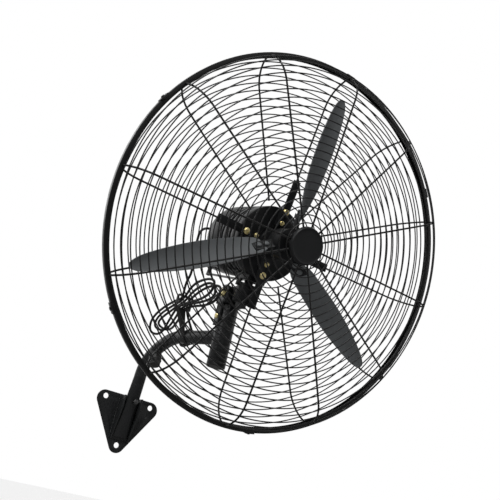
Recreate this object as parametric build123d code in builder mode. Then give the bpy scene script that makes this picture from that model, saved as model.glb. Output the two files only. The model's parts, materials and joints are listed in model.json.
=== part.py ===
"""Industrial oscillating wall fan: wall plate and bent arm, tilting and swinging motor head, three-blade
rotor in a wire cage, and its mains lead hung up in a tied hank.

Millimetres. The wall is the plane y = 0 with the fan on its -Y side, +Z is up, and the origin is the
centre of the wall plate's bolt circle. The head has a frame of its own: its origin is the centre of the
cage's hoop, z runs out of the front of the cage, x to the right and y up, and it nods down at rest.
"""

import math
import os

from build123d import *

os.makedirs("parts", exist_ok=True)

# ---- driving dimensions ----
running_gap = 0.3  # between parts that move past each other
weld_gap = 0.05  # between wires and sheets that are welded together
slip_fit = 0.1  # radial, pins and screws in their holes

# flats on turned pieces: large, middling and small ones
round_sides = 24
boss_sides = 16
pin_sides = 12
screw_sides = 6

# wall plate, cradle and arm bolt
plate_t = 4
plate_half_width = 87.5
plate_top = 52.5
plate_low = 94.5
plate_corner_r = 21.5
bolt_circle_d = 150
bolt_hole_d = 14
cradle_t = 3.5
cradle_width = 52
cradle_depth = 32
cradle_top = 50
cradle_step = 16
cradle_low = 62
cradle_toe = 10
arm_bolt_d = 8
arm_bolt_z = 37

# arm tube
arm_od = 32
arm_sides = 16
arm_standoff = 34
arm_round_low = 26
arm_foot_top = -8
arm_foot_low = -55
arm_foot_width = 44
arm_foot_t = 6
arm_rise = 101
elbow_r = 70
elbow_turn = 60
crown_r = 266
crown_turn = 36

# upright sleeve on the end of the arm
sleeve_od = 42
sleeve_bore = 36
sleeve_y = -424
sleeve_low = 111.5
sleeve_top = 249.5
sleeve_cap_t = 3

# speed switch on the arm
switch_place = 0.125
switch_d = 33
switch_face = 31
knob_d = 31
knob_depth = 13
knob_shaft_d = 8
knob_shaft_depth = 8

# tilt fork and tilt bolt
tilt_y = -430
tilt_z = 272
fork_outer = 52
fork_slot = 34
fork_r = 20
fork_base_t = 2.5
fork_spigot_low = 175
tab_low = 198
tab_width = 22
clamp_z = 219
clamp_d = 6
tilt_bolt_d = 10
tilt_head_d = 17
tilt_head_t = 7

# head: place of the hoop's centre and its nod
head_y = -610
head_z = 359
nod = 15

# neck and swing pivot, in the head's frame
swing_z = -105
neck_r = 19
neck_boss_r = 22
neck_boss_low = -140
neck_boss_top = -98
neck_web_t = 26
bush_od = 20
pivot_d = 16
pivot_top = -90.5
pivot_collar_d = 20
pivot_tail = 12
pivot_washer_t = 2
saddle_w = 44
saddle_l = 60
saddle_h = 22
link_arm = 22
link_pin_d = 6
ear_r = 8
ear_t = 9
link_t = 3.5
link_w = 10
link_top = -92.3

# motor, in the head's frame
motor_r = 82
motor_front = -72
shell_front = -96
shell_back = -168
motor_back = -240
motor_back_r = 70
motor_chamfer_z = -225
motor_wall = 5
shell_wall = 4
fin_depth = 3
fin_pitch = 19
fin_gap = 7
fin_count = 4
stator_od = 2 * (motor_r - fin_depth - shell_wall)
stator_front = -104
stator_back = -160
rotor_od = 90
air_gap = 1
stator_id = rotor_od + 2 * air_gap
rotor_front = -102
rotor_back = -163
bearing_od = 40
bearing_w = 12
shaft_d = 16
shaft_front = 27
shaft_back = -262

# oscillation gearbox and crank, in the head's frame
gearbox_half_w = 24
gearbox_back = -292
gearbox_top = 26
gearbox_low = -64
gearbox_wall = 4
crank_z = -272
crank_r = 27
crank_t = 5
crank_shaft_d = 9
gear_r = 13
gear_t = 8
worm_r = 8
pull_knob_d = 16
pull_knob_top = 62
pull_stem_d = 7
gland_y = 8
gland_root_d = 15
gland_tip_d = 9
gland_length = 32
gland_z = -270
gland_socket = 12
gearbox_corner = 5
crank_drop = 8
pull_knob_h = 16
pull_stem_in = 14

# cage, in the head's frame
hoop_r = 390
hoop_depth = 10.5
hoop_width = 12
hoop_t = 1.2
rib_wire = 4
ring_wire = 2.6
rib_count = 12
cone_rise = 64
cone_slope = 0.03
shoulder_span = 65
shoulder_r = hoop_r - shoulder_span
shoulder_r_bend = shoulder_span - 3
shoulder_ring_angles = (15, 29, 43, 57)
front_ring_count = 18
front_first_ring = 46.2
ring_pitch = (shoulder_r - front_first_ring) / (front_ring_count - 1)
rear_ring_count = 15
rear_first_ring = shoulder_r - (rear_ring_count - 1) * ring_pitch
hoop_sides = 36
ring_sides = 24
inner_ring_sides = 12
inner_ring_limit = 130
front_rib_start = 22
rear_rib_start = rear_first_ring - 2.4
clip_angles = (157.5, 90, 40, -22, -81, -141)
clip_length = 22
clip_grip = 3.5
clip_t = 1.5

# centre cap
cap_r = 39
cap_t = 2
cap_stub_r = 16
cap_lip_w = 2
cap_lip_h = 0.8
backing_r = 36
backing_t = 2.5

# struts that carry the cage on the motor
strut_w = 18
strut_t = 2
strut_inner = 40
strut_outer = 147
strut_screw_radii = (48, 73)
strut_screw_head_d = (11, 15)
strut_screw_d = 6
strut_screw_head_t = 4.5

# rotor
hub_r = 34
hub_front = 12
hub_back = -30
pad_r = 78
pad_w = 26
pad_t = 5
blade_count = 3
blade_t = 2.4
blade_camber = 3.5
blade_sweep = -9.5
blade_z = -7.5
blade_angle = 90
tip_clearance = 50
# distance from the axis, chord and pitch of each blade section, for a hoop of 390
drawn_sections = (
    (54, 38, 61),
    (70, 50, 52),
    (100, 49, 36),
    (140, 52, 23),
    (180, 54, 18),
    (220, 53, 14),
    (260, 47, 10),
    (300, 38, 6),
    (324, 28, 2),
    (336, 16, 0),
    (340, 6, 0),
)
blade_root = drawn_sections[0][0]
blade_stretch = (hoop_r - tip_clearance - blade_root) / (drawn_sections[-1][0] - blade_root)
blade_sections = [(blade_root + (r - blade_root) * blade_stretch, chord, pitch) for r, chord, pitch in drawn_sections]
pad_pitch = 57
rivet_radii = (48, 66)
rivet_d = 8
rivet_front = 3.5
rivet_back = -14
hub_nut_af = 24
hub_nut_t = 12

# mains lead
cord_d = 6
cord_sides = 6
hank_turns = 3
free_bend = 14
hank_bend = 12
tie_w = 12
tie_t = 1.6
tie_x = -36.5
tie_y = 262
tie_z = 267.5
tie_inner_w = 36
tie_inner_h = 30
tie_arm_z = 192.1
tie_arm_r = 17.4
plug_d = 22
plug_length = 44

# ---- frames ----
head = Plane(
    origin=(0, head_y, head_z),
    x_dir=(1, 0, 0),
    z_dir=(0, -math.cos(math.radians(nod)), -math.sin(math.radians(nod))),
)
head_axis = Axis(head.origin, head.z_dir)
tilt_in_head = head.to_local_coords(Vector(0, tilt_y, tilt_z))


def head_point(x, y, z):
    """A point of the head's frame in the wall's frame."""
    return head.from_local_coords(Vector(x, y, z))


def meridian(angle=0):
    """Plane through the head's axis: local x is the radius at that angle, local y is the head's z."""
    turn = math.radians(angle)
    out = head.x_dir * math.cos(turn) + head.y_dir * math.sin(turn)
    return Plane(origin=head.origin, x_dir=out, z_dir=out.cross(head.z_dir))


def level(y, x=0, z=0):
    """Plane square to the head's up direction at that height: local x is x, local y is -z."""
    return Plane(origin=head_point(x, y, z), x_dir=head.x_dir, z_dir=head.y_dir)


def flank(x=0):
    """Plane square to the head's x: local x is the head's z, local y is the head's y."""
    return Plane(origin=head_point(x, 0, 0), x_dir=head.z_dir, z_dir=-head.x_dir)


# ---- wall plate: cut from sheet, three bolt holes on one circle ----
with BuildPart() as wall_plate:
    with BuildSketch(Plane.XZ):
        with BuildLine():
            Polyline(
                (plate_corner_r - plate_half_width, plate_top - plate_corner_r),
                (plate_half_width - plate_corner_r, plate_top - plate_corner_r),
                (0, plate_corner_r - plate_low),
                close=True,
            )
        make_face()
        offset(amount=plate_corner_r, kind=Kind.ARC)
    extrude(amount=plate_t)
    with Locations(Plane.XZ.offset(plate_t)):
        with PolarLocations(bolt_circle_d / 2, 3, start_angle=-90):
            Hole(bolt_hole_d / 2)

# ---- cradle: folded channel welded to the plate, its walls run out to nothing at the toe ----
with BuildPart() as arm_cradle:
    with BuildSketch(Plane.YZ):
        Polygon(
            (-plate_t, cradle_top),
            (-plate_t - cradle_depth, cradle_top),
            (-plate_t - cradle_depth, cradle_step),
            (-plate_t - cradle_toe, -cradle_low),
            (-plate_t, -cradle_low),
            align=None,
        )
    extrude(amount=cradle_width / 2, both=True)
    with BuildSketch(Plane.XZ.offset(plate_t + cradle_t)):
        Rectangle(cradle_width - 2 * cradle_t, 3 * cradle_low)
    extrude(amount=cradle_depth, mode=Mode.SUBTRACT)
    with BuildSketch(Plane.XZ.offset(plate_t)):
        with Locations((0, arm_bolt_z)):
            RegularPolygon(arm_bolt_d / 2 + slip_fit, pin_sides, major_radius=False)
    extrude(amount=cradle_t, mode=Mode.SUBTRACT)

# ---- arm: bent tube, its foot pressed flat, its far end coped to the sleeve ----
with BuildLine(Plane.YZ) as arm_run:
    rise = Line((-arm_standoff, arm_round_low), (-arm_standoff, arm_rise))
    elbow = JernArc(start=rise @ 1, tangent=rise % 1, radius=elbow_r, arc_size=elbow_turn)
    crown = JernArc(start=elbow @ 1, tangent=elbow % 1, radius=crown_r, arc_size=crown_turn)
    reach = (sleeve_y - (crown @ 1).Y) / (crown % 1).Y
    Line(crown @ 1, crown @ 1 + (crown % 1) * reach)
arm_path = arm_run.wires()[0]
foot_y = plate_t + cradle_t + weld_gap + arm_foot_t / 2

with BuildPart() as arm_tube:
    with BuildSketch(Plane.XY.offset(arm_round_low)):
        with Locations((0, -arm_standoff)):
            RegularPolygon(arm_od / 2, arm_sides)
    sweep(path=arm_path)
    with BuildSketch(Plane.XY.offset(arm_round_low)):
        with Locations((0, -arm_standoff)):
            RegularPolygon(arm_od / 2, arm_sides)
    with BuildSketch(Plane.XY.offset(arm_foot_top)):
        with Locations((0, -foot_y)):
            Rectangle(arm_foot_width, arm_foot_t)
    loft()
    with BuildSketch(Plane.XY.offset(arm_foot_top)):
        with Locations((0, -foot_y)):
            Rectangle(arm_foot_width, arm_foot_t)
    extrude(amount=arm_foot_low - arm_foot_top)
    with BuildSketch(Plane.XY.offset(sleeve_low)):
        with Locations((0, sleeve_y)):
            RegularPolygon(sleeve_od / 2 + weld_gap, round_sides)
    extrude(amount=sleeve_top - sleeve_low, mode=Mode.SUBTRACT)
    with BuildSketch(Plane.XZ):
        with Locations((0, arm_bolt_z)):
            RegularPolygon(arm_bolt_d / 2 + slip_fit, pin_sides, major_radius=False)
    extrude(amount=2 * arm_standoff, mode=Mode.SUBTRACT)

# ---- spacer and bolt that hold the arm's foot down in the cradle ----
arm_back = arm_standoff - arm_od / 2
arm_face = arm_standoff + arm_od / 2
with BuildPart() as arm_spacer:
    with BuildSketch(Plane.XZ.offset(plate_t + cradle_t + weld_gap)):
        with Locations((0, arm_bolt_z)):
            RegularPolygon(arm_bolt_d, pin_sides)
            RegularPolygon(arm_bolt_d / 2 + slip_fit, pin_sides, major_radius=False, mode=Mode.SUBTRACT)
    extrude(amount=arm_back - plate_t - cradle_t - 2 * weld_gap)

with BuildPart() as arm_bolt:
    with BuildSketch(Plane.XZ.offset(plate_t + weld_gap)):
        with Locations((0, arm_bolt_z)):
            RegularPolygon(arm_bolt_d / 2, pin_sides)
    extrude(amount=arm_face - plate_t)
    with BuildSketch(Plane.XZ.offset(arm_face + weld_gap)):
        with Locations((0, arm_bolt_z)):
            RegularPolygon(arm_bolt_d * 0.85, 6)
    extrude(amount=arm_bolt_d * 0.65)

# ---- sleeve: upright tube with the clamp screw's hole, and its plastic end cap ----
with BuildPart() as sleeve:
    with BuildSketch(Plane.XY.offset(sleeve_low)):
        with Locations((0, sleeve_y)):
            RegularPolygon(sleeve_od / 2, round_sides)
            RegularPolygon(sleeve_bore / 2, round_sides, mode=Mode.SUBTRACT)
    extrude(amount=sleeve_top - sleeve_low)
    with BuildSketch(Plane(origin=(0, sleeve_y, clamp_z), z_dir=(-1, 0, 0))):
        RegularPolygon(clamp_d / 2 + slip_fit, screw_sides)
    extrude(amount=sleeve_od, mode=Mode.SUBTRACT)

with BuildPart() as sleeve_cap:
    with BuildSketch(Plane.XY.offset(sleeve_low - sleeve_cap_t)):
        with Locations((0, sleeve_y)):
            RegularPolygon(sleeve_od / 2, round_sides)
    extrude(amount=sleeve_cap_t)
    with BuildSketch(Plane.XY.offset(sleeve_low)):
        with Locations((0, sleeve_y)):
            RegularPolygon(sleeve_bore / 2 - slip_fit, round_sides)
    extrude(amount=10)

# ---- speed switch: round housing saddled under the arm's bend, square to it, and its knob ----
switch_axis_point = crown @ switch_place
switch_along = (crown % switch_place).cross(Vector(-1, 0, 0))
switch_frame = Plane(origin=switch_axis_point, x_dir=(1, 0, 0), z_dir=switch_along)

with BuildPart() as switch_housing:
    with BuildSketch(switch_frame):
        RegularPolygon(switch_d / 2, round_sides)
    extrude(amount=switch_face)
    with BuildSketch(Plane.XY.offset(arm_round_low)):
        with Locations((0, -arm_standoff)):
            RegularPolygon(arm_od / 2 + weld_gap, arm_sides)
    sweep(path=arm_path, mode=Mode.SUBTRACT)
    with BuildSketch(switch_frame.offset(switch_face - knob_shaft_depth)):
        RegularPolygon(knob_shaft_d / 2 + slip_fit, pin_sides, major_radius=False)
    extrude(amount=knob_shaft_depth, mode=Mode.SUBTRACT)

with BuildPart() as speed_knob:
    with BuildSketch(switch_frame.offset(switch_face - knob_shaft_depth + running_gap)):
        RegularPolygon(knob_shaft_d / 2, pin_sides)
    extrude(amount=knob_shaft_depth)
    with BuildSketch(switch_frame.offset(switch_face + running_gap)):
        RegularPolygon(knob_d / 2, round_sides)
    extrude(amount=knob_depth, taper=4)

# ---- tilt fork: spigot in the sleeve, two cheeks, and a tab down the sleeve's left side ----
fork_floor = tilt_z - neck_r - 1
with BuildPart() as tilt_fork:
    with BuildSketch(Plane.XY.offset(fork_spigot_low)):
        with Locations((0, sleeve_y)):
            RegularPolygon(sleeve_bore / 2 - slip_fit, round_sides)
    extrude(amount=sleeve_top + weld_gap - fork_spigot_low)
    with BuildSketch(Plane.YZ):
        with Locations((tilt_y, tilt_z)):
            RegularPolygon(fork_r, round_sides)
        Polygon(
            (tilt_y - fork_r, tilt_z),
            (tilt_y - fork_r, sleeve_top + 8),
            (sleeve_y - sleeve_od / 2 + 3, sleeve_top + weld_gap),
            (sleeve_y + sleeve_od / 2 - 1, sleeve_top + weld_gap),
            (sleeve_y + sleeve_od / 2 - 1, sleeve_top + 8),
            (tilt_y + fork_r, tilt_z),
            align=None,
        )
    extrude(amount=fork_outer / 2, both=True)
    with BuildSketch(Plane.XZ.offset(-tilt_y - 2 * fork_r)):
        with Locations((0, fork_floor)):
            Rectangle(fork_slot, 4 * fork_r, align=(Align.CENTER, Align.MIN))
    extrude(amount=4 * fork_r, mode=Mode.SUBTRACT)
    with BuildSketch(Plane(origin=(-sleeve_od / 2 - running_gap, sleeve_y, tab_low), z_dir=(-1, 0, 0), x_dir=(0, 1, 0))):
        with Locations((0, 0)):
            Rectangle(tab_width, sleeve_top + 2 - tab_low, align=(Align.CENTER, Align.MAX))
    extrude(amount=fork_outer / 2 - sleeve_od / 2 - running_gap)
    with BuildSketch(Plane(origin=(fork_outer, tilt_y, tilt_z), z_dir=(-1, 0, 0))):
        RegularPolygon(tilt_bolt_d / 2 + slip_fit, pin_sides, major_radius=False)
    extrude(amount=2 * fork_outer, mode=Mode.SUBTRACT)
    with BuildSketch(Plane(origin=(-fork_outer, sleeve_y, clamp_z), z_dir=(1, 0, 0))):
        RegularPolygon(clamp_d / 2 + slip_fit, screw_sides)
    extrude(amount=fork_outer, mode=Mode.SUBTRACT)

with BuildPart() as clamp_screw:
    clamp_face = Plane(origin=(-fork_outer / 2, sleeve_y, clamp_z), z_dir=(-1, 0, 0))
    with BuildSketch(clamp_face.offset(-14)):
        RegularPolygon(clamp_d / 2, screw_sides)
    extrude(amount=15)
    with BuildSketch(clamp_face.offset(weld_gap)):
        RegularPolygon(clamp_d, pin_sides)
    extrude(amount=4)

with BuildPart() as tilt_bolt:
    bolt_face = Plane(origin=(-fork_outer / 2, tilt_y, tilt_z), z_dir=(-1, 0, 0))
    with BuildSketch(bolt_face.offset(1)):
        RegularPolygon(tilt_bolt_d / 2, pin_sides)
    extrude(amount=-fork_outer - 11)
    with BuildSketch(bolt_face.offset(weld_gap)):
        RegularPolygon(tilt_head_d / 2, 6)
    extrude(amount=tilt_head_t)

with BuildPart() as tilt_nut:
    with BuildSketch(Plane.YZ.offset(fork_outer / 2 + weld_gap)):
        with Locations((tilt_y, tilt_z)):
            RegularPolygon(tilt_head_d / 2, 6)
            RegularPolygon(tilt_bolt_d / 2 + weld_gap, pin_sides, major_radius=False, mode=Mode.SUBTRACT)
    extrude(amount=8)

# ---- neck: tilt lug between the cheeks, web, swing boss and the link's ear ----
with BuildPart() as neck:
    with BuildSketch(flank()):
        with Locations((tilt_in_head.Z, tilt_in_head.Y)):
            RegularPolygon(neck_r, round_sides)
    extrude(amount=fork_slot / 2 - running_gap, both=True)
    with BuildSketch(flank()):
        Polygon(
            (tilt_in_head.Z + 4, tilt_in_head.Y + neck_r - 1),
            (swing_z - 6, neck_boss_top - 4),
            (swing_z - 6, neck_boss_low + 2),
            (tilt_in_head.Z + 4, tilt_in_head.Y - neck_r + 4),
            align=None,
        )
    extrude(amount=neck_web_t / 2, both=True)
    with BuildSketch(level(neck_boss_low, z=swing_z)):
        RegularPolygon(neck_boss_r, round_sides)
    extrude(amount=neck_boss_top - neck_boss_low)
    with BuildSketch(level(neck_boss_top - ear_t, x=-link_arm, z=swing_z)):
        RegularPolygon(ear_r, boss_sides)
        Rectangle(link_arm, 2 * ear_r, align=(Align.MIN, Align.CENTER))
    extrude(amount=ear_t)
    with BuildSketch(level(neck_boss_low, z=swing_z)):
        RegularPolygon(bush_od / 2, boss_sides)
    extrude(amount=neck_boss_top - neck_boss_low, mode=Mode.SUBTRACT)
    with BuildSketch(flank(-fork_slot)):
        with Locations((tilt_in_head.Z, tilt_in_head.Y)):
            RegularPolygon(tilt_bolt_d / 2 + slip_fit, pin_sides, major_radius=False)
    extrude(amount=-2 * fork_slot, mode=Mode.SUBTRACT)
    with BuildSketch(level(neck_boss_top - ear_t, x=-link_arm, z=swing_z)):
        RegularPolygon(link_pin_d / 2 + weld_gap, pin_sides)
    extrude(amount=ear_t, mode=Mode.SUBTRACT)

with BuildPart() as neck_bush:
    with BuildSketch(level(neck_boss_low, z=swing_z)):
        RegularPolygon(bush_od / 2, boss_sides)
        RegularPolygon(pivot_d / 2 + weld_gap, boss_sides, major_radius=False, mode=Mode.SUBTRACT)
    extrude(amount=neck_boss_top - neck_boss_low)

with BuildPart() as link_pin:
    with BuildSketch(level(neck_boss_top - ear_t, x=-link_arm, z=swing_z)):
        RegularPolygon(link_pin_d / 2, pin_sides)
    extrude(amount=link_top + 0.5 - neck_boss_top + ear_t)
    with BuildSketch(level(link_top + running_gap, x=-link_arm, z=swing_z)):
        RegularPolygon(link_pin_d / 2 + 2, pin_sides)
    extrude(amount=1)

# ---- saddle under the motor with the swing pivot on it, and the nut that retains it ----
with BuildPart() as pivot_saddle:
    with BuildSketch(level(pivot_top, z=swing_z)):
        Rectangle(saddle_w, saddle_l)
    extrude(amount=saddle_h)
    with BuildSketch(head.offset(swing_z - saddle_l)):
        RegularPolygon(motor_r + weld_gap, round_sides)
    extrude(amount=2 * saddle_l, mode=Mode.SUBTRACT)
    with BuildSketch(level(neck_boss_top + running_gap, z=swing_z)):
        RegularPolygon(pivot_collar_d / 2, boss_sides)
    extrude(amount=pivot_top - neck_boss_top)
    with BuildSketch(level(neck_boss_low - pivot_tail, z=swing_z)):
        RegularPolygon(pivot_d / 2, boss_sides)
    extrude(amount=neck_boss_top - neck_boss_low + pivot_tail + 1)

with BuildPart() as pivot_nut:
    with BuildSketch(level(neck_boss_low - running_gap - pivot_washer_t, z=swing_z)):
        RegularPolygon(pivot_d, boss_sides)
        RegularPolygon(pivot_d / 2 + weld_gap, boss_sides, mode=Mode.SUBTRACT)
    extrude(amount=pivot_washer_t)
    with BuildSketch(level(neck_boss_low - running_gap - pivot_tail + 1, z=swing_z)):
        RegularPolygon(pivot_d * 0.85, 6)
        RegularPolygon(pivot_d / 2 + weld_gap, boss_sides, mode=Mode.SUBTRACT)
    extrude(amount=pivot_tail - 1 - pivot_washer_t)

# ---- swing link from the neck's ear to the crank ----
link_z = (swing_z + crank_z) / 2
with BuildPart() as swing_link:
    with BuildSketch(level(link_top - link_t, x=-link_arm, z=link_z)):
        Rectangle(link_w, swing_z - crank_z)
        with Locations((0, (swing_z - crank_z) / 2), (0, -(swing_z - crank_z) / 2)):
            RegularPolygon(link_w / 2, boss_sides, major_radius=False)
        with Locations((0, (swing_z - crank_z) / 2), (0, -(swing_z - crank_z) / 2)):
            RegularPolygon(link_pin_d / 2 + weld_gap, pin_sides, major_radius=False, mode=Mode.SUBTRACT)
    extrude(amount=link_t)

# ---- motor: front bell, ribbed shell, rear bell ----
with BuildPart() as motor_front_bell:
    with BuildSketch(head.offset(motor_front)):
        RegularPolygon(motor_r, round_sides)
        RegularPolygon(shaft_d / 2 + 1, pin_sides, mode=Mode.SUBTRACT)
    extrude(amount=shell_front - motor_front)
    with BuildSketch(head.offset(shell_front)):
        RegularPolygon(motor_r - motor_wall, round_sides)
        RegularPolygon(bearing_od / 2 + motor_wall, boss_sides, mode=Mode.SUBTRACT)
    extrude(amount=motor_front - shell_front - motor_wall - 1, mode=Mode.SUBTRACT)
    with BuildSketch(head.offset(shell_front)):
        RegularPolygon(bearing_od / 2 + weld_gap, boss_sides)
    extrude(amount=bearing_w, mode=Mode.SUBTRACT)
    with BuildSketch(head.offset(motor_front)):
        for radius in strut_screw_radii:
            with PolarLocations(radius, 4):
                RegularPolygon(strut_screw_d / 2 + slip_fit, screw_sides)
    extrude(amount=-motor_wall - 1, mode=Mode.SUBTRACT)

with BuildPart() as motor_shell:
    with BuildSketch(head.offset(shell_front - weld_gap)):
        RegularPolygon(motor_r - fin_depth, round_sides)
        RegularPolygon(stator_od / 2 + weld_gap, round_sides, mode=Mode.SUBTRACT)
    extrude(amount=shell_back - shell_front + 2 * weld_gap)
    for i in range(fin_count):
        with BuildSketch(head.offset(shell_front - weld_gap - i * fin_pitch)):
            RegularPolygon(motor_r, round_sides)
            RegularPolygon(stator_od / 2 + weld_gap, round_sides, mode=Mode.SUBTRACT)
        extrude(amount=fin_gap - fin_pitch + weld_gap)

with BuildPart() as motor_rear_bell:
    with BuildSketch(head.offset(shell_back)):
        RegularPolygon(motor_r, round_sides)
    extrude(amount=motor_chamfer_z - shell_back)
    with BuildSketch(head.offset(motor_chamfer_z)):
        RegularPolygon(motor_r, round_sides)
    with BuildSketch(head.offset(motor_back)):
        RegularPolygon(motor_back_r, round_sides)
    loft()
    with BuildSketch(head.offset(shell_back)):
        RegularPolygon(motor_r - motor_wall, round_sides)
    extrude(amount=motor_chamfer_z - shell_back, mode=Mode.SUBTRACT)
    with BuildSketch(head.offset(motor_chamfer_z)):
        RegularPolygon(bearing_od / 2 + weld_gap, boss_sides)
    extrude(amount=-bearing_w, mode=Mode.SUBTRACT)
    with BuildSketch(head.offset(motor_chamfer_z)):
        RegularPolygon(shaft_d / 2 + 1, pin_sides)
    extrude(amount=motor_back - motor_chamfer_z, mode=Mode.SUBTRACT)

with BuildPart() as stator:
    with BuildSketch(head.offset(stator_front)):
        RegularPolygon(stator_od / 2, round_sides)
        RegularPolygon(stator_id / 2, round_sides, mode=Mode.SUBTRACT)
    extrude(amount=stator_back - stator_front)

with BuildPart() as front_bearing:
    with BuildSketch(head.offset(shell_front)):
        RegularPolygon(bearing_od / 2, boss_sides)
        RegularPolygon(shaft_d / 2 + weld_gap, pin_sides, major_radius=False, mode=Mode.SUBTRACT)
    extrude(amount=bearing_w - weld_gap)

with BuildPart() as rear_bearing:
    with BuildSketch(head.offset(motor_chamfer_z)):
        RegularPolygon(bearing_od / 2, boss_sides)
        RegularPolygon(shaft_d / 2 + weld_gap, pin_sides, major_radius=False, mode=Mode.SUBTRACT)
    extrude(amount=weld_gap - bearing_w)

# ---- rotor: shaft with the worm on its tail, core, hub with three pads, nut ----
with BuildPart() as shaft:
    with BuildSketch(head.offset(shaft_front)):
        RegularPolygon(shaft_d / 2, pin_sides)
    extrude(amount=motor_back - shaft_front)
    with BuildSketch(head.offset(motor_back)):
        RegularPolygon(worm_r - 2, pin_sides)
    extrude(amount=shaft_back - motor_back)
    with BuildSketch(head.offset(motor_back - 8)):
        RegularPolygon(worm_r, pin_sides)
    extrude(amount=shaft_back - motor_back + 12)

with BuildPart() as rotor_core:
    with BuildSketch(head.offset(rotor_front)):
        RegularPolygon(rotor_od / 2, round_sides)
        RegularPolygon(shaft_d / 2 + weld_gap, pin_sides, major_radius=False, mode=Mode.SUBTRACT)
    extrude(amount=rotor_back - rotor_front)


def blade_frame(radius, turn):
    """Section plane across the blade at that radius: local x follows the chord, y the front normal."""
    angle = math.radians(blade_angle + turn)
    pitch = math.radians(dict((r, p) for r, _, p in blade_sections)[radius])
    out = head.x_dir * math.cos(angle) + head.y_dir * math.sin(angle)
    side = head.y_dir * math.cos(angle) - head.x_dir * math.sin(angle)
    along = side * math.cos(pitch) + head.z_dir * math.sin(pitch)
    middle = head.origin + out * radius + side * blade_sweep + head.z_dir * blade_z
    return Plane(origin=middle, x_dir=along, z_dir=along.cross(head.z_dir * math.cos(pitch) - side * math.sin(pitch)))


def blade_solid(turn):
    """One pressed blade: thin cambered sections lofted from the root to the round tip."""
    with BuildPart() as blade:
        for radius, chord, _ in blade_sections:
            camber = blade_camber * chord / blade_sections[0][1]
            rise = blade_t / 2 * min(1, chord / 20)
            with BuildSketch(blade_frame(radius, turn)):
                with BuildLine():
                    ThreePointArc((-chord / 2, 0), (0, rise - camber), (chord / 2, 0))
                    ThreePointArc((chord / 2, 0), (0, -rise - camber), (-chord / 2, 0))
                make_face()
        loft()
        for radius in rivet_radii:
            with BuildSketch(rivet_frame(radius, turn).offset(-20)):
                RegularPolygon(rivet_d / 2 + slip_fit, screw_sides)
            extrude(amount=40, mode=Mode.SUBTRACT)
    return blade.part


def rivet_frame(radius, turn):
    """Plane on the root pad at that radius: z is the pad's front normal."""
    angle = math.radians(blade_angle + turn)
    pitch = math.radians(pad_pitch)
    out = head.x_dir * math.cos(angle) + head.y_dir * math.sin(angle)
    side = head.y_dir * math.cos(angle) - head.x_dir * math.sin(angle)
    normal = head.z_dir * math.cos(pitch) - side * math.sin(pitch)
    middle = head.origin + out * radius + side * blade_sweep + head.z_dir * blade_z
    return Plane(origin=middle, x_dir=out, z_dir=normal)


blades = []
for i in range(blade_count):
    blades.append(blade_solid(i * 360 / blade_count))

with BuildPart() as hub:
    with BuildSketch(head.offset(hub_back)):
        RegularPolygon(hub_r, round_sides)
    extrude(amount=hub_front - hub_back)
    for i in range(blade_count):
        turn = i * 360 / blade_count
        with BuildSketch(rivet_frame((hub_r + pad_r) / 2 - 8, turn).offset(-blade_camber - blade_t / 2 - pad_t)):
            Rectangle(pad_r - hub_r + 16, pad_w)
        extrude(amount=pad_t + blade_camber)
        add(blades[i], mode=Mode.SUBTRACT)
        for radius in rivet_radii:
            with BuildSketch(rivet_frame(radius, turn).offset(-20)):
                RegularPolygon(rivet_d / 2 + slip_fit, screw_sides)
            extrude(amount=30, mode=Mode.SUBTRACT)
    with BuildSketch(head.offset(hub_front)):
        RegularPolygon(shaft_d / 2 + weld_gap, pin_sides, major_radius=False)
    extrude(amount=hub_back - hub_front, mode=Mode.SUBTRACT)

with BuildPart() as blade_rivets:
    for i in range(blade_count):
        for radius in rivet_radii:
            with BuildSketch(rivet_frame(radius, i * 360 / blade_count).offset(rivet_front)):
                RegularPolygon(rivet_d / 2, screw_sides)
            extrude(amount=rivet_back - rivet_front)

with BuildPart() as hub_nut:
    with BuildSketch(head.offset(hub_front + weld_gap)):
        RegularPolygon(hub_nut_af / 2, 6, major_radius=False)
        RegularPolygon(shaft_d / 2 + weld_gap, pin_sides, major_radius=False, mode=Mode.SUBTRACT)
    extrude(amount=hub_nut_t)

# ---- oscillation gearbox on the back of the motor: housing, crank, pull knob, cord gland ----
with BuildPart() as gearbox:
    with BuildSketch(head.offset(motor_back - weld_gap)):
        with Locations((0, (gearbox_top + gearbox_low) / 2)):
            Rectangle(2 * gearbox_half_w, gearbox_top - gearbox_low)
    extrude(amount=gearbox_back - motor_back)
    chamfer(gearbox.edges().filter_by(Axis(head.origin, head.z_dir)), gearbox_corner)
    chamfer(gearbox.faces().sort_by(Axis(head.origin, head.z_dir))[0].edges(), gearbox_corner / 2)
    with BuildSketch(head.offset(motor_back)):
        with Locations((0, (gearbox_top + gearbox_low) / 2)):
            Rectangle(2 * (gearbox_half_w - gearbox_wall), gearbox_top - gearbox_low - 2 * gearbox_wall)
    extrude(amount=gearbox_back - motor_back + gearbox_wall, mode=Mode.SUBTRACT)
    with BuildSketch(level(gearbox_top + 1, z=crank_z)):
        RegularPolygon(pull_stem_d / 2 + weld_gap, pin_sides, major_radius=False)
    extrude(amount=-gearbox_wall - 2, mode=Mode.SUBTRACT)
    with BuildSketch(level(gearbox_low - 1, z=crank_z)):
        RegularPolygon(crank_shaft_d / 2 + weld_gap, pin_sides, major_radius=False)
    extrude(amount=gearbox_wall + 2, mode=Mode.SUBTRACT)
    with BuildSketch(flank(-gearbox_half_w)):
        with Locations((gland_z, gland_y)):
            RegularPolygon(gland_root_d / 2 - 2 + weld_gap, pin_sides)
    extrude(amount=-gearbox_wall - 2, mode=Mode.SUBTRACT)

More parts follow.
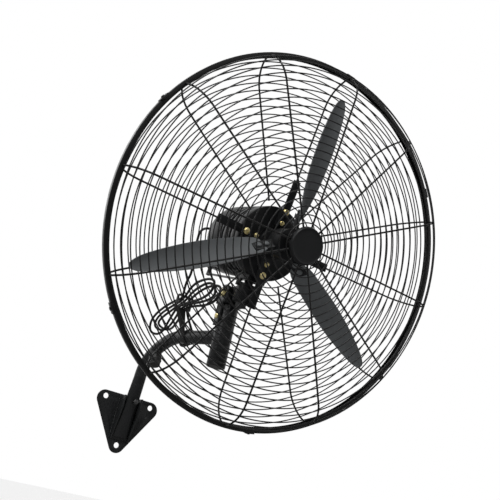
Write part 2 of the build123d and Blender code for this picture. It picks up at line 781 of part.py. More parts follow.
with BuildPart() as crank:
    with BuildSketch(level(gearbox_low - crank_drop, z=crank_z)):
        RegularPolygon(crank_r, round_sides)
    extrude(amount=-crank_t)
    with BuildSketch(level(gearbox_low - crank_drop, z=crank_z)):
        RegularPolygon(crank_shaft_d / 2, pin_sides)
    extrude(amount=crank_drop + gearbox_wall + 8)
    with BuildSketch(level(gearbox_low + gearbox_wall + 6, z=crank_z)):
        RegularPolygon(gear_r, boss_sides)
    extrude(amount=gear_t)
    with BuildSketch(level(gearbox_low - crank_drop - crank_t, x=-link_arm, z=crank_z)):
        RegularPolygon(link_pin_d / 2 + 2, pin_sides)
    extrude(amount=link_top + running_gap - gearbox_low + crank_drop + crank_t)
    with BuildSketch(level(gearbox_low - crank_drop - crank_t, x=-link_arm, z=crank_z)):
        RegularPolygon(link_pin_d / 2, pin_sides)
    extrude(amount=link_top - link_t - 2.5 - gearbox_low + crank_drop + crank_t)

with BuildPart() as crank_clip:
    with BuildSketch(level(link_top - link_t - running_gap, x=-link_arm, z=crank_z)):
        RegularPolygon(link_pin_d / 2 + 3, pin_sides)
        RegularPolygon(link_pin_d / 2 + weld_gap, pin_sides, mode=Mode.SUBTRACT)
    extrude(amount=-1.2)

with BuildPart() as pull_knob:
    with BuildSketch(level(gearbox_top - pull_stem_in, z=crank_z)):
        RegularPolygon(pull_stem_d / 2, pin_sides)
    extrude(amount=pull_knob_top - pull_knob_h - gearbox_top + pull_stem_in)
    with BuildSketch(level(pull_knob_top - pull_knob_h, z=crank_z)):
        RegularPolygon(pull_knob_d / 2, boss_sides)
    extrude(amount=pull_knob_h)

with BuildPart() as cord_gland:
    with BuildSketch(flank(-gearbox_half_w - weld_gap)):
        with Locations((gland_z, gland_y)):
            RegularPolygon(gland_root_d / 2, pin_sides)
    with BuildSketch(flank(-gearbox_half_w - gland_length)):
        with Locations((gland_z, gland_y)):
            RegularPolygon(gland_tip_d / 2, pin_sides)
    loft()
    with BuildSketch(flank(-gearbox_half_w - 1)):
        with Locations((gland_z, gland_y)):
            RegularPolygon(gland_root_d / 2 - 2, pin_sides)
    extrude(amount=-gearbox_wall - 3)
    with BuildSketch(flank(-gearbox_half_w - gland_length)):
        with Locations((gland_z, gland_y)):
            RegularPolygon(cord_d / 2 + slip_fit, pin_sides, major_radius=False)
    extrude(amount=-gland_socket, mode=Mode.SUBTRACT)

# ---- cage: hoop, front and rear guards, clips ----
with BuildPart() as hoop:
    with BuildSketch(head.offset(-hoop_width / 2)):
        RegularPolygon(hoop_r, hoop_sides)
        RegularPolygon(hoop_r - hoop_depth, hoop_sides, mode=Mode.SUBTRACT)
    extrude(amount=hoop_width)
    with BuildSketch(head.offset(hoop_t - hoop_width / 2)):
        RegularPolygon(hoop_r - hoop_t, hoop_sides)
        RegularPolygon(hoop_r - 2 * hoop_depth, hoop_sides, mode=Mode.SUBTRACT)
    extrude(amount=hoop_width - 2 * hoop_t, mode=Mode.SUBTRACT)

bend_start_z = cone_rise - cone_slope * shoulder_r
bend_middle = Vector(shoulder_r - cone_slope * shoulder_r_bend, bend_start_z - shoulder_r_bend)
ring_lift = rib_wire / 2 + weld_gap + ring_wire / 2


def bend_point(angle, lift=0):
    """Radius and z of a point on the shoulder bend, lifted off the radial wire's middle line."""
    lean = math.radians(angle)
    reach = shoulder_r_bend + lift
    return bend_middle.X + reach * math.sin(lean), bend_middle.Y + reach * math.cos(lean)


def rib_solids(start, front):
    """The radial wires of one guard: straight along the cone, then round the shoulder to the hoop."""
    face = 1 if front else -1
    ribs = []
    last = 90 - math.degrees(math.asin((hoop_width / 2 + 0.9 - bend_middle.Y) / shoulder_r_bend))
    corners = [(start, face * (cone_rise - cone_slope * start))]
    for angle in (1,) + shoulder_ring_angles + (last,):
        radius, height = bend_point(angle)
        corners.append((radius, face * height))
    for i in range(rib_count):
        with BuildPart() as rib:
            with BuildSketch(meridian(i * 360 / rib_count)):
                with BuildLine():
                    Polyline(*corners)
                trace(line_width=rib_wire)
            extrude(amount=rib_wire / 2, both=True)
        ribs.extend(rib.part.solids())
    return ribs


def ring_solid(radius, middle_z, wire, sides):
    """One wire ring with flats, its corners over the radial wires."""
    with BuildPart() as ring:
        with BuildSketch(head.offset(middle_z - wire / 2)):
            RegularPolygon(radius + wire / 2, sides)
            RegularPolygon(radius - wire / 2, sides, mode=Mode.SUBTRACT)
        extrude(amount=wire)
    return ring.part.solids()


def guard(front, rib_start, first_ring, ring_count):
    """One guard of the cage: radial wires and the rings welded on their outer side."""
    face = 1 if front else -1
    wires = rib_solids(rib_start, front)
    for i in range(ring_count):
        radius = first_ring + i * ring_pitch
        sides = inner_ring_sides if radius < inner_ring_limit else ring_sides
        height = cone_rise - cone_slope * radius + ring_lift
        wires += ring_solid(radius, face * height, ring_wire, sides)
    for angle in shoulder_ring_angles:
        lean = math.radians(angle)
        lift = rib_wire / 2 + weld_gap + ring_wire / 2 * (math.cos(lean) + math.sin(lean))
        radius, height = bend_point(angle, lift)
        wires += ring_solid(radius, face * height, ring_wire, ring_sides)
    return Compound(children=wires)


front_guard = guard(True, front_rib_start, front_first_ring, front_ring_count)
rear_guard = guard(False, rear_rib_start, rear_first_ring, rear_ring_count)

with BuildPart() as hoop_clips:
    for angle in clip_angles:
        turn = math.radians(angle)
        out = head.x_dir * math.cos(turn) + head.y_dir * math.sin(turn)
        seat = Plane(origin=head.origin + out * (hoop_r - clip_grip), x_dir=head.z_dir, z_dir=out)
        with BuildSketch(seat):
            Rectangle(hoop_width + 2 * clip_t + 2 * weld_gap, clip_length)
        extrude(amount=clip_grip + clip_t)
        with BuildSketch(seat.offset(clip_grip + clip_t)):
            RegularPolygon(4, screw_sides)
        extrude(amount=2.5)
    with BuildSketch(head.offset(-hoop_width / 2 - weld_gap)):
        RegularPolygon(hoop_r + weld_gap, hoop_sides)
    extrude(amount=hoop_width + 2 * weld_gap, mode=Mode.SUBTRACT)

# ---- centre cap over the ends of the front guard's radial wires, and the plate behind them ----
rib_back_z = cone_rise - cone_slope * backing_r - rib_wire / 2 - weld_gap
cap_back_z = cone_rise - cone_slope * front_rib_start + rib_wire / 2 + weld_gap
with BuildPart() as guard_backing:
    with BuildSketch(head.offset(rib_back_z - backing_t)):
        RegularPolygon(backing_r, round_sides)
    extrude(amount=backing_t)

with BuildPart() as centre_cap:
    with BuildSketch(head.offset(rib_back_z + weld_gap)):
        RegularPolygon(cap_stub_r, 12)
    extrude(amount=cap_back_z - rib_back_z)
    with BuildSketch(head.offset(cap_back_z)):
        RegularPolygon(cap_r, round_sides)
    extrude(amount=cap_t)
    with BuildSketch(head.offset(cap_back_z + cap_t)):
        RegularPolygon(cap_r, round_sides)
        RegularPolygon(cap_r - cap_lip_w, round_sides, mode=Mode.SUBTRACT)
    extrude(amount=cap_lip_h)

# ---- struts: four channels screwed to the motor's front bell, run out under the rear guard ----
with BuildPart() as guard_struts:
    for i in range(4):
        plane = meridian(i * 90)
        inner_z = cone_slope * strut_inner - cone_rise + rib_wire / 2 + weld_gap
        outer_z = cone_slope * strut_outer - cone_rise + rib_wire / 2 + weld_gap
        with BuildSketch(plane):
            Polygon(
                (strut_inner, motor_front + weld_gap),
                (strut_inner, inner_z + strut_t),
                (strut_outer, outer_z + strut_t),
                (strut_outer, outer_z),
                (rear_rib_start - 3, cone_slope * (rear_rib_start - 3) - cone_rise + rib_wire / 2 + weld_gap),
                (motor_r - 2, motor_front + weld_gap),
                align=None,
            )
        extrude(amount=strut_w / 2, both=True)
        with BuildSketch(plane):
            Polygon(
                (strut_inner - 5, motor_front - 1),
                (strut_inner - 5, inner_z),
                (strut_inner, inner_z),
                (strut_outer, outer_z),
                (strut_outer, motor_front - 1),
                align=None,
            )
        extrude(amount=strut_w / 2 - strut_t, both=True, mode=Mode.SUBTRACT)
        with BuildSketch(head.offset(motor_front)):
            for radius in strut_screw_radii:
                with PolarLocations(radius, 1, start_angle=i * 90):
                    RegularPolygon(strut_screw_d / 2 + slip_fit, screw_sides)
        extrude(amount=30, mode=Mode.SUBTRACT)

with BuildPart() as strut_screws:
    for radius, head_d in zip(strut_screw_radii, strut_screw_head_d):
        seat_z = cone_slope * (radius + head_d / 2) - cone_rise + rib_wire / 2 + strut_t + 2 * weld_gap
        with BuildSketch(head.offset(seat_z)):
            with PolarLocations(radius, 4):
                RegularPolygon(head_d / 2, 8)
        extrude(amount=strut_screw_head_t)
        with BuildSketch(head.offset(seat_z)):
            with PolarLocations(radius, 4):
                RegularPolygon(strut_screw_d / 2, screw_sides)
        extrude(amount=motor_front - seat_z - 5)

# ---- mains lead: two free stretches, the hank of it over the arm, the tie and the plug ----
# control corners of one turn of the hank, with the step from one turn to the next at each
hank_corners = (
    ((-47, -262, 275), (7.2, 0, 0)),
    ((-44, -205, 263), (5.6, 0, 4.9)),
    ((-44, -124, 242), (5.6, 0, 4.9)),
    ((-34, -102, 216), (5.6, 0, 4.9)),
    ((-14, -136, 210), (5.6, 0, 4.9)),
    ((-28, -205, 236), (5.6, 0, 4.9)),
    ((-47, -262, 260), (7.2, 0, 0)),
    ((-54, -424, 248), (7.2, 0, 0)),
    ((-54, -440, 276), (7.2, 0, 0)),
    ((-53, -400, 298), (7.2, 0, 0)),
    ((-51, -320, 292), (7.2, 0, 0)),
)
gland_tip = head_point(-gearbox_half_w - gland_length, gland_y, gland_z)
meeting = Vector(-68, -326, 335)
upper_corners = ((-84, -351, 437), (-83, -345, 378))
lower_corners = ((-62, -300, 306),)
tail_corners = ((-8, -236, 250), (16, -238, 214), (31, -228, 196))
plug_root = (31, -197, 196)
hank_points = []
for turn in range(hank_turns):
    for corner, step in hank_corners:
        hank_points.append(Vector(corner) + Vector(step) * turn)
hank_points.append(Vector(hank_corners[0][0]) + Vector(hank_corners[0][1]) * hank_turns)


def rope(path):
    """A cord of constant section swept along the path."""
    with BuildPart() as run:
        with BuildSketch(Plane(origin=path @ 0, z_dir=path % 0)):
            RegularPolygon(cord_d / 2, cord_sides)
        sweep(path=path)
    return run


with BuildLine() as upper_run:
    FilletPolyline(gland_tip + Vector(9, 0, 0), *upper_corners, meeting, radius=free_bend)
cord_upper = rope(upper_run.wires()[0])
lower_start = meeting + (meeting - Vector(upper_corners[-1])).normalized() * free_bend
lower_end = hank_points[0] + (hank_points[0] - hank_points[1]).normalized() * cord_d * 1.3
with BuildLine() as lower_run:
    FilletPolyline(meeting, lower_start, *lower_corners, lower_end, hank_points[0], radius=free_bend)
cord_lower = rope(lower_run.wires()[0])
with BuildLine() as hank_run:
    FilletPolyline(*hank_points, radius=hank_bend)
cord_hank = rope(hank_run.wires()[0])


def least_gap(path, samples):
    """Smallest clear gap between two stretches of a cord that aren't neighbours along it."""
    step = path.length / samples
    apart = int(3 * cord_d / step)
    points = [path @ (i / samples) for i in range(samples + 1)]
    gap = path.length
    for i in range(samples + 1):
        for j in range(i + apart, samples + 1):
            gap = min(gap, (points[i] - points[j]).length)
    return gap - cord_d


print("hank", round(hank_run.wires()[0].length), "mm, least gap", round(least_gap(hank_run.wires()[0], 900), 2), "mm")
tail_start = hank_points[-1] + (hank_points[-1] - hank_points[-2]).normalized() * free_bend
with BuildLine() as tail_run:
    FilletPolyline(hank_points[-1], tail_start, *tail_corners, plug_root, radius=free_bend)
cord_tail = rope(tail_run.wires()[0])

with BuildPart() as plug:
    with BuildSketch(Plane(origin=plug_root, x_dir=(1, 0, 0), z_dir=(0, 1, 0))):
        RegularPolygon(plug_d / 2, 12)
    extrude(amount=plug_length)

# the tie goes once round the hank's waist and once round the arm under it
with BuildPart() as hank_tie:
    with BuildSketch(Plane.XZ.offset(tie_y - tie_w / 2)):
        with Locations((tie_x, tie_z)):
            Rectangle(tie_inner_w + 2 * tie_t, tie_inner_h + 2 * tie_t)
        with Locations((0, tie_arm_z)):
            RegularPolygon(tie_arm_r + tie_t, boss_sides)
        Polygon(
            (tie_x - tie_inner_w / 2 + 2, tie_z - tie_inner_h / 2),
            (-tie_arm_r - tie_t, tie_arm_z),
            (-tie_arm_r, tie_arm_z + 6),
            (tie_x + tie_inner_w / 2 - 12, tie_z - tie_inner_h / 2),
            align=None,
        )
        with Locations((tie_x, tie_z)):
            Rectangle(tie_inner_w, tie_inner_h, mode=Mode.SUBTRACT)
        with Locations((0, tie_arm_z)):
            RegularPolygon(tie_arm_r, boss_sides, mode=Mode.SUBTRACT)
    extrude(amount=tie_w)

parts = {
    "wall_plate": wall_plate.part,
    "arm_cradle": arm_cradle.part,
    "arm_tube": arm_tube.part,
    "arm_spacer": arm_spacer.part,
    "arm_bolt": arm_bolt.part,
    "sleeve": sleeve.part,
    "sleeve_cap": sleeve_cap.part,
    "switch_housing": switch_housing.part,
    "speed_knob": speed_knob.part,
    "tilt_fork": tilt_fork.part,
    "clamp_screw": clamp_screw.part,
    "tilt_bolt": tilt_bolt.part,
    "tilt_nut": tilt_nut.part,
    "neck": neck.part,
    "neck_bush": neck_bush.part,
    "link_pin": link_pin.part,
    "pivot_saddle": pivot_saddle.part,
    "pivot_nut": pivot_nut.part,
    "swing_link": swing_link.part,
    "motor_front_bell": motor_front_bell.part,
    "motor_shell": motor_shell.part,
    "motor_rear_bell": motor_rear_bell.part,
    "stator": stator.part,
    "front_bearing": front_bearing.part,
    "rear_bearing": rear_bearing.part,
    "shaft": shaft.part,
    "rotor_core": rotor_core.part,
    "hub": hub.part,
    "blade_1": blades[0],
    "blade_2": blades[1],
    "blade_3": blades[2],
    "blade_rivets": blade_rivets.part,
    "hub_nut": hub_nut.part,
    "gearbox": gearbox.part,
    "crank": crank.part,
    "crank_clip": crank_clip.part,
    "pull_knob": pull_knob.part,
    "cord_gland": cord_gland.part,
    "hoop": hoop.part,
    "front_guard": front_guard,
    "rear_guard": rear_guard,
    "hoop_clips": hoop_clips.part,
    "guard_backing": guard_backing.part,
    "centre_cap": centre_cap.part,
    "guard_struts": guard_struts.part,
    "strut_screws": strut_screws.part,
    "cord_upper": cord_upper.part,
    "cord_lower": cord_lower.part,
    "cord_hank": cord_hank.part,
    "cord_tail": cord_tail.part,
    "hank_tie": hank_tie.part,
    "plug": plug.part,
}
for name, shape in parts.items():
    shape.label = name
    export_step(shape, "parts/" + name + ".step")
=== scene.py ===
import json
import math

import bpy
from mathutils import Matrix, Vector

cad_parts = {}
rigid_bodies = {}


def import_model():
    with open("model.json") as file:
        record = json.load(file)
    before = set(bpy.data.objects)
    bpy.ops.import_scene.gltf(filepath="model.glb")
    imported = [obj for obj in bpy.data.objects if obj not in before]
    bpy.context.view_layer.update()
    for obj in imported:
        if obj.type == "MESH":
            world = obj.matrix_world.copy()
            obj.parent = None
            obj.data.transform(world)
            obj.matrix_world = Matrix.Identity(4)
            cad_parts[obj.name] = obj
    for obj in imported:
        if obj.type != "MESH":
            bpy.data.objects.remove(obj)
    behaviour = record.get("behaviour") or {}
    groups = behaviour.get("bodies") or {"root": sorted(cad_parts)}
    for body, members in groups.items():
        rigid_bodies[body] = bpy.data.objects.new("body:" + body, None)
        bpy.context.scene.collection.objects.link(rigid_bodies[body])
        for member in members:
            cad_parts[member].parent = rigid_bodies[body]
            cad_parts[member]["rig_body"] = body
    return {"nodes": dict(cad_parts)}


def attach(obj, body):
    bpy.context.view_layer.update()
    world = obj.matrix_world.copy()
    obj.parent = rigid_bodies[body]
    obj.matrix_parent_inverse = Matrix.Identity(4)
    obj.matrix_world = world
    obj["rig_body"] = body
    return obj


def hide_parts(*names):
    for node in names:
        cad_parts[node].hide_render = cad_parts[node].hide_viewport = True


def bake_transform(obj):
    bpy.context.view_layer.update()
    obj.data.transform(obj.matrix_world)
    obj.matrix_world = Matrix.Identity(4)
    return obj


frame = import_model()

for name in ("Cube", "Light", "Camera"):
    if name in bpy.data.objects:
        bpy.data.objects.remove(bpy.data.objects[name])
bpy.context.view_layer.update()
# Blender works in metres and the sizes below are in mm. The wall is y = 0 with the fan on its -Y side, z is
# up, and the origin is the middle of the wall bolts' circle.
mm = 0.001

# ---- studio ----
# A white seamless studio: the fan hangs free of any wall over a pale floor, lit by one large soft lamp
# from the upper left with weaker ones at the side and behind. The camera looks up from the left, with the
# lens and the place that the cage's wires in the photograph gave.
camera = bpy.data.objects.new("camera", bpy.data.cameras.new("camera"))
bpy.context.scene.collection.objects.link(camera)
bpy.context.scene.camera = camera
camera.data.lens = 46.8
camera.data.sensor_width = 36
camera.data.clip_start = 0.05
camera.matrix_world = Matrix((
    (0.8080, -0.3702, -0.4584, -0.6772),
    (-0.5510, -0.1991, -0.8104, -1.6540),
    (0.2088, 0.9074, -0.3648, -0.1579),
    (0, 0, 0, 1),
))
bpy.context.scene.view_settings.view_transform = "Standard"


def soft_lamp(name, place, aim, size, power):
    """A square soft box at a place, turned to face the aim point."""
    lamp = bpy.data.objects.new(name, bpy.data.lights.new(name, "AREA"))
    bpy.context.scene.collection.objects.link(lamp)
    lamp.data.size = size
    lamp.data.energy = power
    lamp.location = place
    lamp.rotation_euler = (Vector(aim) - Vector(place)).to_track_quat("-Z", "Y").to_euler()


soft_lamp("key_lamp", (-1.75, -2.2, 3.1), (0, -0.6, 0.3), 1.2, 155)
soft_lamp("side_lamp", (-3.0, -1.0, 1.6), (0, -0.5, 0.3), 1.0, 30)
soft_lamp("back_lamp", (-1.2, 2.4, 1.8), (0, -0.4, 0.3), 1.6, 14)


class Reading:
    """A number that changes over a surface; sums written with it become the finish's Math nodes."""

    def __init__(self, finish, socket):
        self.finish, self.socket = finish, socket

    def sum(self, operation, first, second):
        return self.finish.node("ShaderNodeMath", {"operation": operation}, {0: first, 1: second})

    def __add__(self, other):
        return self.sum("ADD", self, other)

    def __radd__(self, other):
        return self.sum("ADD", other, self)

    def __sub__(self, other):
        return self.sum("SUBTRACT", self, other)

    def __rsub__(self, other):
        return self.sum("SUBTRACT", other, self)

    def __mul__(self, other):
        return self.sum("MULTIPLY", self, other)

    def __rmul__(self, other):
        return self.sum("MULTIPLY", other, self)


class Finish:
    """One surface finish: a material, its Principled shader and the nodes that feed it. Keywords set the
    shader's sockets, with _ for a space."""

    def __init__(self, name, **constants):
        self.material = bpy.data.materials.new(name)
        self.material.use_nodes = True
        self.tree = self.material.node_tree
        self.shader = self.tree.nodes["Principled BSDF"]
        for socket, value in constants.items():
            self.shader.inputs[socket.replace("_", " ")].default_value = value

    def node(self, kind, settings=None, sockets=None, output=0):
        """Adds a node, makes its settings, then fills or links its sockets, and reads one output."""
        made = self.tree.nodes.new(kind)
        for name, value in (settings or {}).items():
            setattr(made, name, value)
        for name, value in (sockets or {}).items():
            self.fill(made.inputs[name], value)
        return Reading(self, made.outputs[output])

    def fill(self, socket, value):
        if isinstance(value, Reading):
            self.tree.links.new(value.socket, socket)
        else:
            socket.default_value = value

    def feed(self, **sockets):
        for name, value in sockets.items():
            self.fill(self.shader.inputs[name.replace("_", " ")], value)

    def place(self):
        return self.node("ShaderNodeTexCoord", output="Object")

    def noise(self, scale, detail=3, roughness=0.5):
        sockets = {"Vector": self.place(), "Scale": scale, "Detail": detail, "Roughness": roughness}
        return self.node("ShaderNodeTexNoise", sockets=sockets)

    def cells(self, scale):
        sockets = {"Vector": self.place(), "Scale": scale, "Smoothness": 0.4}
        return self.node("ShaderNodeTexVoronoi", {"feature": "SMOOTH_F1"}, sockets)

    def between(self, reading, low, high):
        """0 below low, 1 above high, and a straight run between."""
        return self.node("ShaderNodeMapRange", sockets={"Value": reading, "From Min": low, "From Max": high})

    def blend(self, amount, first, second):
        """Mixes two colours by a reading."""
        return self.node("ShaderNodeMix", {"data_type": "RGBA"}, {0: amount, 6: first, 7: second}, 2)

    def bump(self, height, strength, depth):
        """Bumps the surface by a reading, to a depth in mm."""
        sockets = {"Height": height, "Strength": strength, "Distance": depth * mm}
        self.feed(Normal=self.node("ShaderNodeBump", sockets=sockets))

    def mottle(self, clouds, first, second, sheen, grain):
        """Clouds of two close colours, a roughness that wanders and a fine grain. Clouds hold a noise's scale
        and detail, the sheen its least, spread and scale, the grain its scale, detail, strength and depth."""
        least, spread, scale = sheen
        self.feed(
            Base_Color=self.blend(self.noise(*clouds), first, second),
            Roughness=least + spread * self.noise(scale),
        )
        scale, detail, strength, depth = grain
        self.bump(self.noise(scale, detail), strength, depth)


def shade(level, tint=(1, 1, 1)):
    """A colour of that level, tinted."""
    return (level * tint[0], level * tint[1], level * tint[2], 1)


# world: white to the camera and in reflections, dimmer where it lights the object
world_seen, world_lights = 1.0, 0.12
world = bpy.data.worlds.new("studio")
bpy.context.scene.world = world
world.use_nodes = True
world_nodes, world_links = world.node_tree.nodes, world.node_tree.links
light_path = world_nodes.new("ShaderNodeLightPath")
seen = world_nodes.new("ShaderNodeMath")
seen.operation = "MAXIMUM"
world_links.new(light_path.outputs["Is Camera Ray"], seen.inputs[0])
mirrored = world_nodes.new("ShaderNodeMath")
mirrored.operation = "MAXIMUM"
world_links.new(light_path.outputs["Is Glossy Ray"], mirrored.inputs[0])
world_links.new(light_path.outputs["Is Transmission Ray"], mirrored.inputs[1])
world_links.new(mirrored.outputs[0], seen.inputs[1])
strength = world_nodes.new("ShaderNodeMapRange")
world_links.new(seen.outputs[0], strength.inputs["Value"])
strength.inputs["To Min"].default_value = world_lights
strength.inputs["To Max"].default_value = world_seen
world_links.new(strength.outputs[0], world_nodes["Background"].inputs["Strength"])
world_nodes["Background"].inputs["Color"].default_value = (1, 1, 1, 1)

# floor: it glows to the camera alone, so it is pale in the picture and throws no more light on the object
floor_z, floor_size, floor_glow = -1.15, 60, 0.75
bpy.ops.mesh.primitive_plane_add(size=floor_size, location=(0, 0, floor_z))
floor = bpy.context.object
floor.name = "floor"
floor_paint = Finish("floor_paint", Roughness=0.9, Specular_IOR_Level=0.1, Emission_Strength=1)
to_camera = floor_paint.node("ShaderNodeLightPath", output="Is Camera Ray")
floor_paint.feed(
    Base_Color=floor_paint.blend(floor_paint.noise(3), shade(0.80), shade(0.84)),
    Emission_Color=floor_paint.blend(to_camera, shade(0), shade(floor_glow)),
)
floor.data.materials.append(floor_paint.material)

# ---- wall plate and cradle ----
# The three-hole triangle is cut from 4 mm sheet, and the folded cradle is welded up the middle of it.
# Both are sprayed with black hammered paint after welding, which pools in a fine orange-peel skin.
hammered = Finish("hammered_paint", Specular_IOR_Level=0.12, Coat_Roughness=0.2)
rubbed_patches = hammered.between(hammered.noise(26, 6, 0.65), 0.62, 0.72)
rubbed = rubbed_patches * hammered.between(hammered.noise(300), 0.45, 0.6)
cold = (0.95, 1, 1.04)
lacquer = hammered.blend(hammered.noise(14, 5), shade(0.006, cold), shade(0.014, cold))
hammered.feed(
    Base_Color=hammered.blend(rubbed * 0.35, lacquer, shade(0.09)),
    Roughness=0.24 + 0.16 * hammered.noise(60) + rubbed * 0.2,
    Coat_Weight=0.06 - rubbed * 0.06,
)
hammered.bump(hammered.cells(190) * 0.7 + hammered.noise(420) * 0.3, 0.9, 1.1)


def edit(part=None, action=None):
    """Opens the active piece for editing, by its parts of that kind, with all or none of them selected."""
    bpy.ops.object.mode_set(mode="EDIT")
    if part:
        bpy.ops.mesh.select_mode(type=part)
    if action:
        bpy.ops.mesh.select_all(action=action)


def done():
    bpy.ops.object.mode_set(mode="OBJECT")


def close_up():
    """Fills the open ends of the piece in edit, turns its faces outward and ends the edit."""
    bpy.ops.mesh.select_all(action="SELECT")
    bpy.ops.mesh.fill_holes(sides=0)
    bpy.ops.mesh.select_all(action="SELECT")
    bpy.ops.mesh.normals_make_consistent(inside=False)
    done()


def alone(piece):
    """Makes a piece the only selected object and the active one."""
    bpy.ops.object.select_all(action="DESELECT")
    piece.select_set(True)
    bpy.context.view_layer.objects.active = piece


def soften(piece, edge, limit=32):
    """Breaks a piece's edges sharper than a limit by that width in mm and shades it smooth between them."""
    alone(piece)
    bevel = piece.modifiers.new("edges", "BEVEL")
    bevel.width = edge * mm
    bevel.segments = 2
    bevel.limit_method = "ANGLE"
    bevel.angle_limit = math.radians(limit)
    bpy.ops.object.modifier_apply(modifier=bevel.name)
    bpy.ops.object.shade_smooth_by_angle(angle=math.radians(limit + 4))


def added(piece, finish, body):
    """Gives a piece that stands for no CAD node its finish, and rides it on a body."""
    piece.data.materials.append(finish.material)
    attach(piece, body)


def settle(piece, finish, node):
    """Gives a piece its finish, hides the node that it stands for and rides it on its body."""
    piece.data.materials.clear()
    piece.data.materials.append(finish.material)
    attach(piece, frame["nodes"][node]["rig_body"])
    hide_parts(node)
    return piece


def finished(piece, edge, finish, node, place=None):
    """Breaks a new piece's edges, puts it in its place and settles it as that node."""
    soften(piece, edge)
    if place:
        put(piece, place)
    settle(piece, finish, node)


def worked(node, finish, edge):
    """A copy of a CAD node, its faces joined up and its edges broken as the tool or the paint leaves them."""
    piece = bpy.data.objects.new(node + "_piece", frame["nodes"][node].data.copy())
    bpy.context.scene.collection.objects.link(piece)
    alone(piece)
    edit(action="SELECT")
    bpy.ops.mesh.remove_doubles(threshold=0.01 * mm)
    bpy.ops.mesh.dissolve_limited(angle_limit=math.radians(1))
    done()
    soften(piece, edge)
    return settle(piece, finish, node)


def joined(name, pieces):
    """One object of several, under a new name."""
    alone(pieces[0])
    for piece in pieces[1:]:
        piece.select_set(True)
    bpy.ops.object.join()
    bpy.context.object.name = name
    return bpy.context.object


def copied(piece, place):
    """A copy of a piece with its own mesh, moved by a matrix that is applied to the mesh."""
    twin = bpy.data.objects.new(piece.name, piece.data.copy())
    bpy.context.scene.collection.objects.link(twin)
    twin.data.transform(place)
    return twin


def put(piece, place):
    """Moves a piece that was modelled at the origin to its place and applies the move."""
    alone(piece)
    piece.matrix_world = place @ piece.matrix_world
    bpy.ops.object.transform_apply(location=True, rotation=True, scale=True)
    return piece


def moved(x, y, z):
    """A move in mm."""
    return Matrix.Translation((x * mm, y * mm, z * mm))


def spun(degrees, axis="Z"):
    """A turn about an axis through the origin."""
    return Matrix.Rotation(math.radians(degrees), 4, axis)


def facing(place, direction):
    """A place in mm whose z axis points along a direction."""
    turn = Vector(direction).to_track_quat("Z", "Y").to_matrix().to_4x4()
    return Matrix.Translation(Vector(place) * mm) @ turn


def turned(name, profile, sides, bore=False, place=None):
    """A turned piece about z: a circle drawn out through each (radius, z) of the profile, in mm. With a
    bore the last circle is bridged to the first, and otherwise both ends are closed."""
    radius, z = profile[0]
    bpy.ops.mesh.primitive_circle_add(vertices=sides, radius=radius * mm, location=(0, 0, z * mm))
    piece = bpy.context.object
    piece.name = name
    bpy.ops.object.transform_apply(location=True)
    edit("EDGE", "SELECT")
    if not bore:
        bpy.ops.mesh.edge_face_add()
    for next_radius, next_z in profile[1:]:
        bpy.ops.mesh.extrude_region_move(TRANSFORM_OT_translate={"value": (0, 0, (next_z - z) * mm)})
        if next_radius != radius:
            ratio = next_radius / radius
            bpy.ops.transform.resize(value=(ratio, ratio, 1), center_override=(0, 0, next_z * mm))
        radius, z = next_radius, next_z
    if bore:
        bpy.ops.mesh.select_all(action="DESELECT")
        bpy.ops.mesh.select_non_manifold()
        bpy.ops.mesh.bridge_edge_loops()
    bpy.ops.mesh.select_all(action="SELECT")
    bpy.ops.mesh.normals_make_consistent(inside=False)
    done()
    return put(piece, place) if place else piece


def weld(name, runs, size):
    """A weld seam: one bead of that radius in mm copied along each run from a point to a point, in metres."""
    bpy.ops.mesh.primitive_ico_sphere_add(subdivisions=2, radius=size * mm)
    blob = bpy.context.object
    edit()
    bpy.ops.transform.resize(value=(1, 1, 0.7))
    done()
    blobs = []
    for start, end in runs:
        start, end = Vector(start), Vector(end)
        count = max(2, int((end - start).length / (size * 0.75 * mm)))
        for i in range(count + 1):
            wander = 0.12 * size * mm * math.sin(i * 2.4)
            lean = Matrix.Rotation(0.3 * math.sin(i * 1.7), 4, "X")
            middle = start.lerp(end, i / count) + Vector((wander, 0, wander))
            blobs.append(copied(blob, Matrix.Translation(middle) @ lean))
    bpy.data.objects.remove(blob)
    seam = joined(name, blobs)
    bpy.ops.object.shade_smooth()
    return seam


plate_t, cradle_half, cradle_top, cradle_low = 4, 26, 50, 62
cradle_bead, bead_out, bead_up, bead_short = 1.7, 0.5, 0.6, 2
worked("wall_plate", hammered, 0.8)
worked("arm_cradle", hammered, 0.7)
cradle_seams = []
for side in (-1, 1):
    seam_x, seam_y = side * (cradle_half + bead_out) * mm, -(plate_t + bead_up) * mm
    low, top = -(cradle_low - bead_short) * mm, (cradle_top - bead_short) * mm
    cradle_seams.append(((seam_x, seam_y, low), (seam_x, seam_y, top)))
added(weld("cradle_weld", cradle_seams, cradle_bead), hammered, "wall_arm")

# ---- arm ----
# A 32 mm steel tube: its foot is pressed flat between the cradle's walls, and it is bent twice on its way
# to the sleeve, where its coped end is welded all round. Same hammered paint as the plate.
arm_r, arm_y, arm_low, arm_rise, arm_sides = 16, -34, 26, 101, 40
elbow_r, elbow_turn, elbow_steps = 70, math.radians(60), 18
crown_r, crown_turn, crown_steps = 266, math.radians(36), 22
sleeve_y, sleeve_r, sleeve_bore, sleeve_low, sleeve_top = -424, 21, 18, 111.5, 249.5
arm_sunk = 5  # how far the coped end reaches into the sleeve's outline
foot_y, foot_half_w, foot_half_t, foot_top, foot_low, foot_steps = -10.55, 22, 3, -8, -55, 6


def drawn(distance):
    """Draws the selected rim out by that vector, in mm."""
    bpy.ops.mesh.extrude_region_move(TRANSFORM_OT_translate={"value": tuple(mm * d for d in distance)})


def bent(angle, centre, axis, steps):
    """Spins the selected rim about a centre in mm, by an angle that runs the other way with no window."""
    bpy.ops.mesh.spin(steps=steps, angle=-angle, center=Vector(centre) * mm, axis=axis)


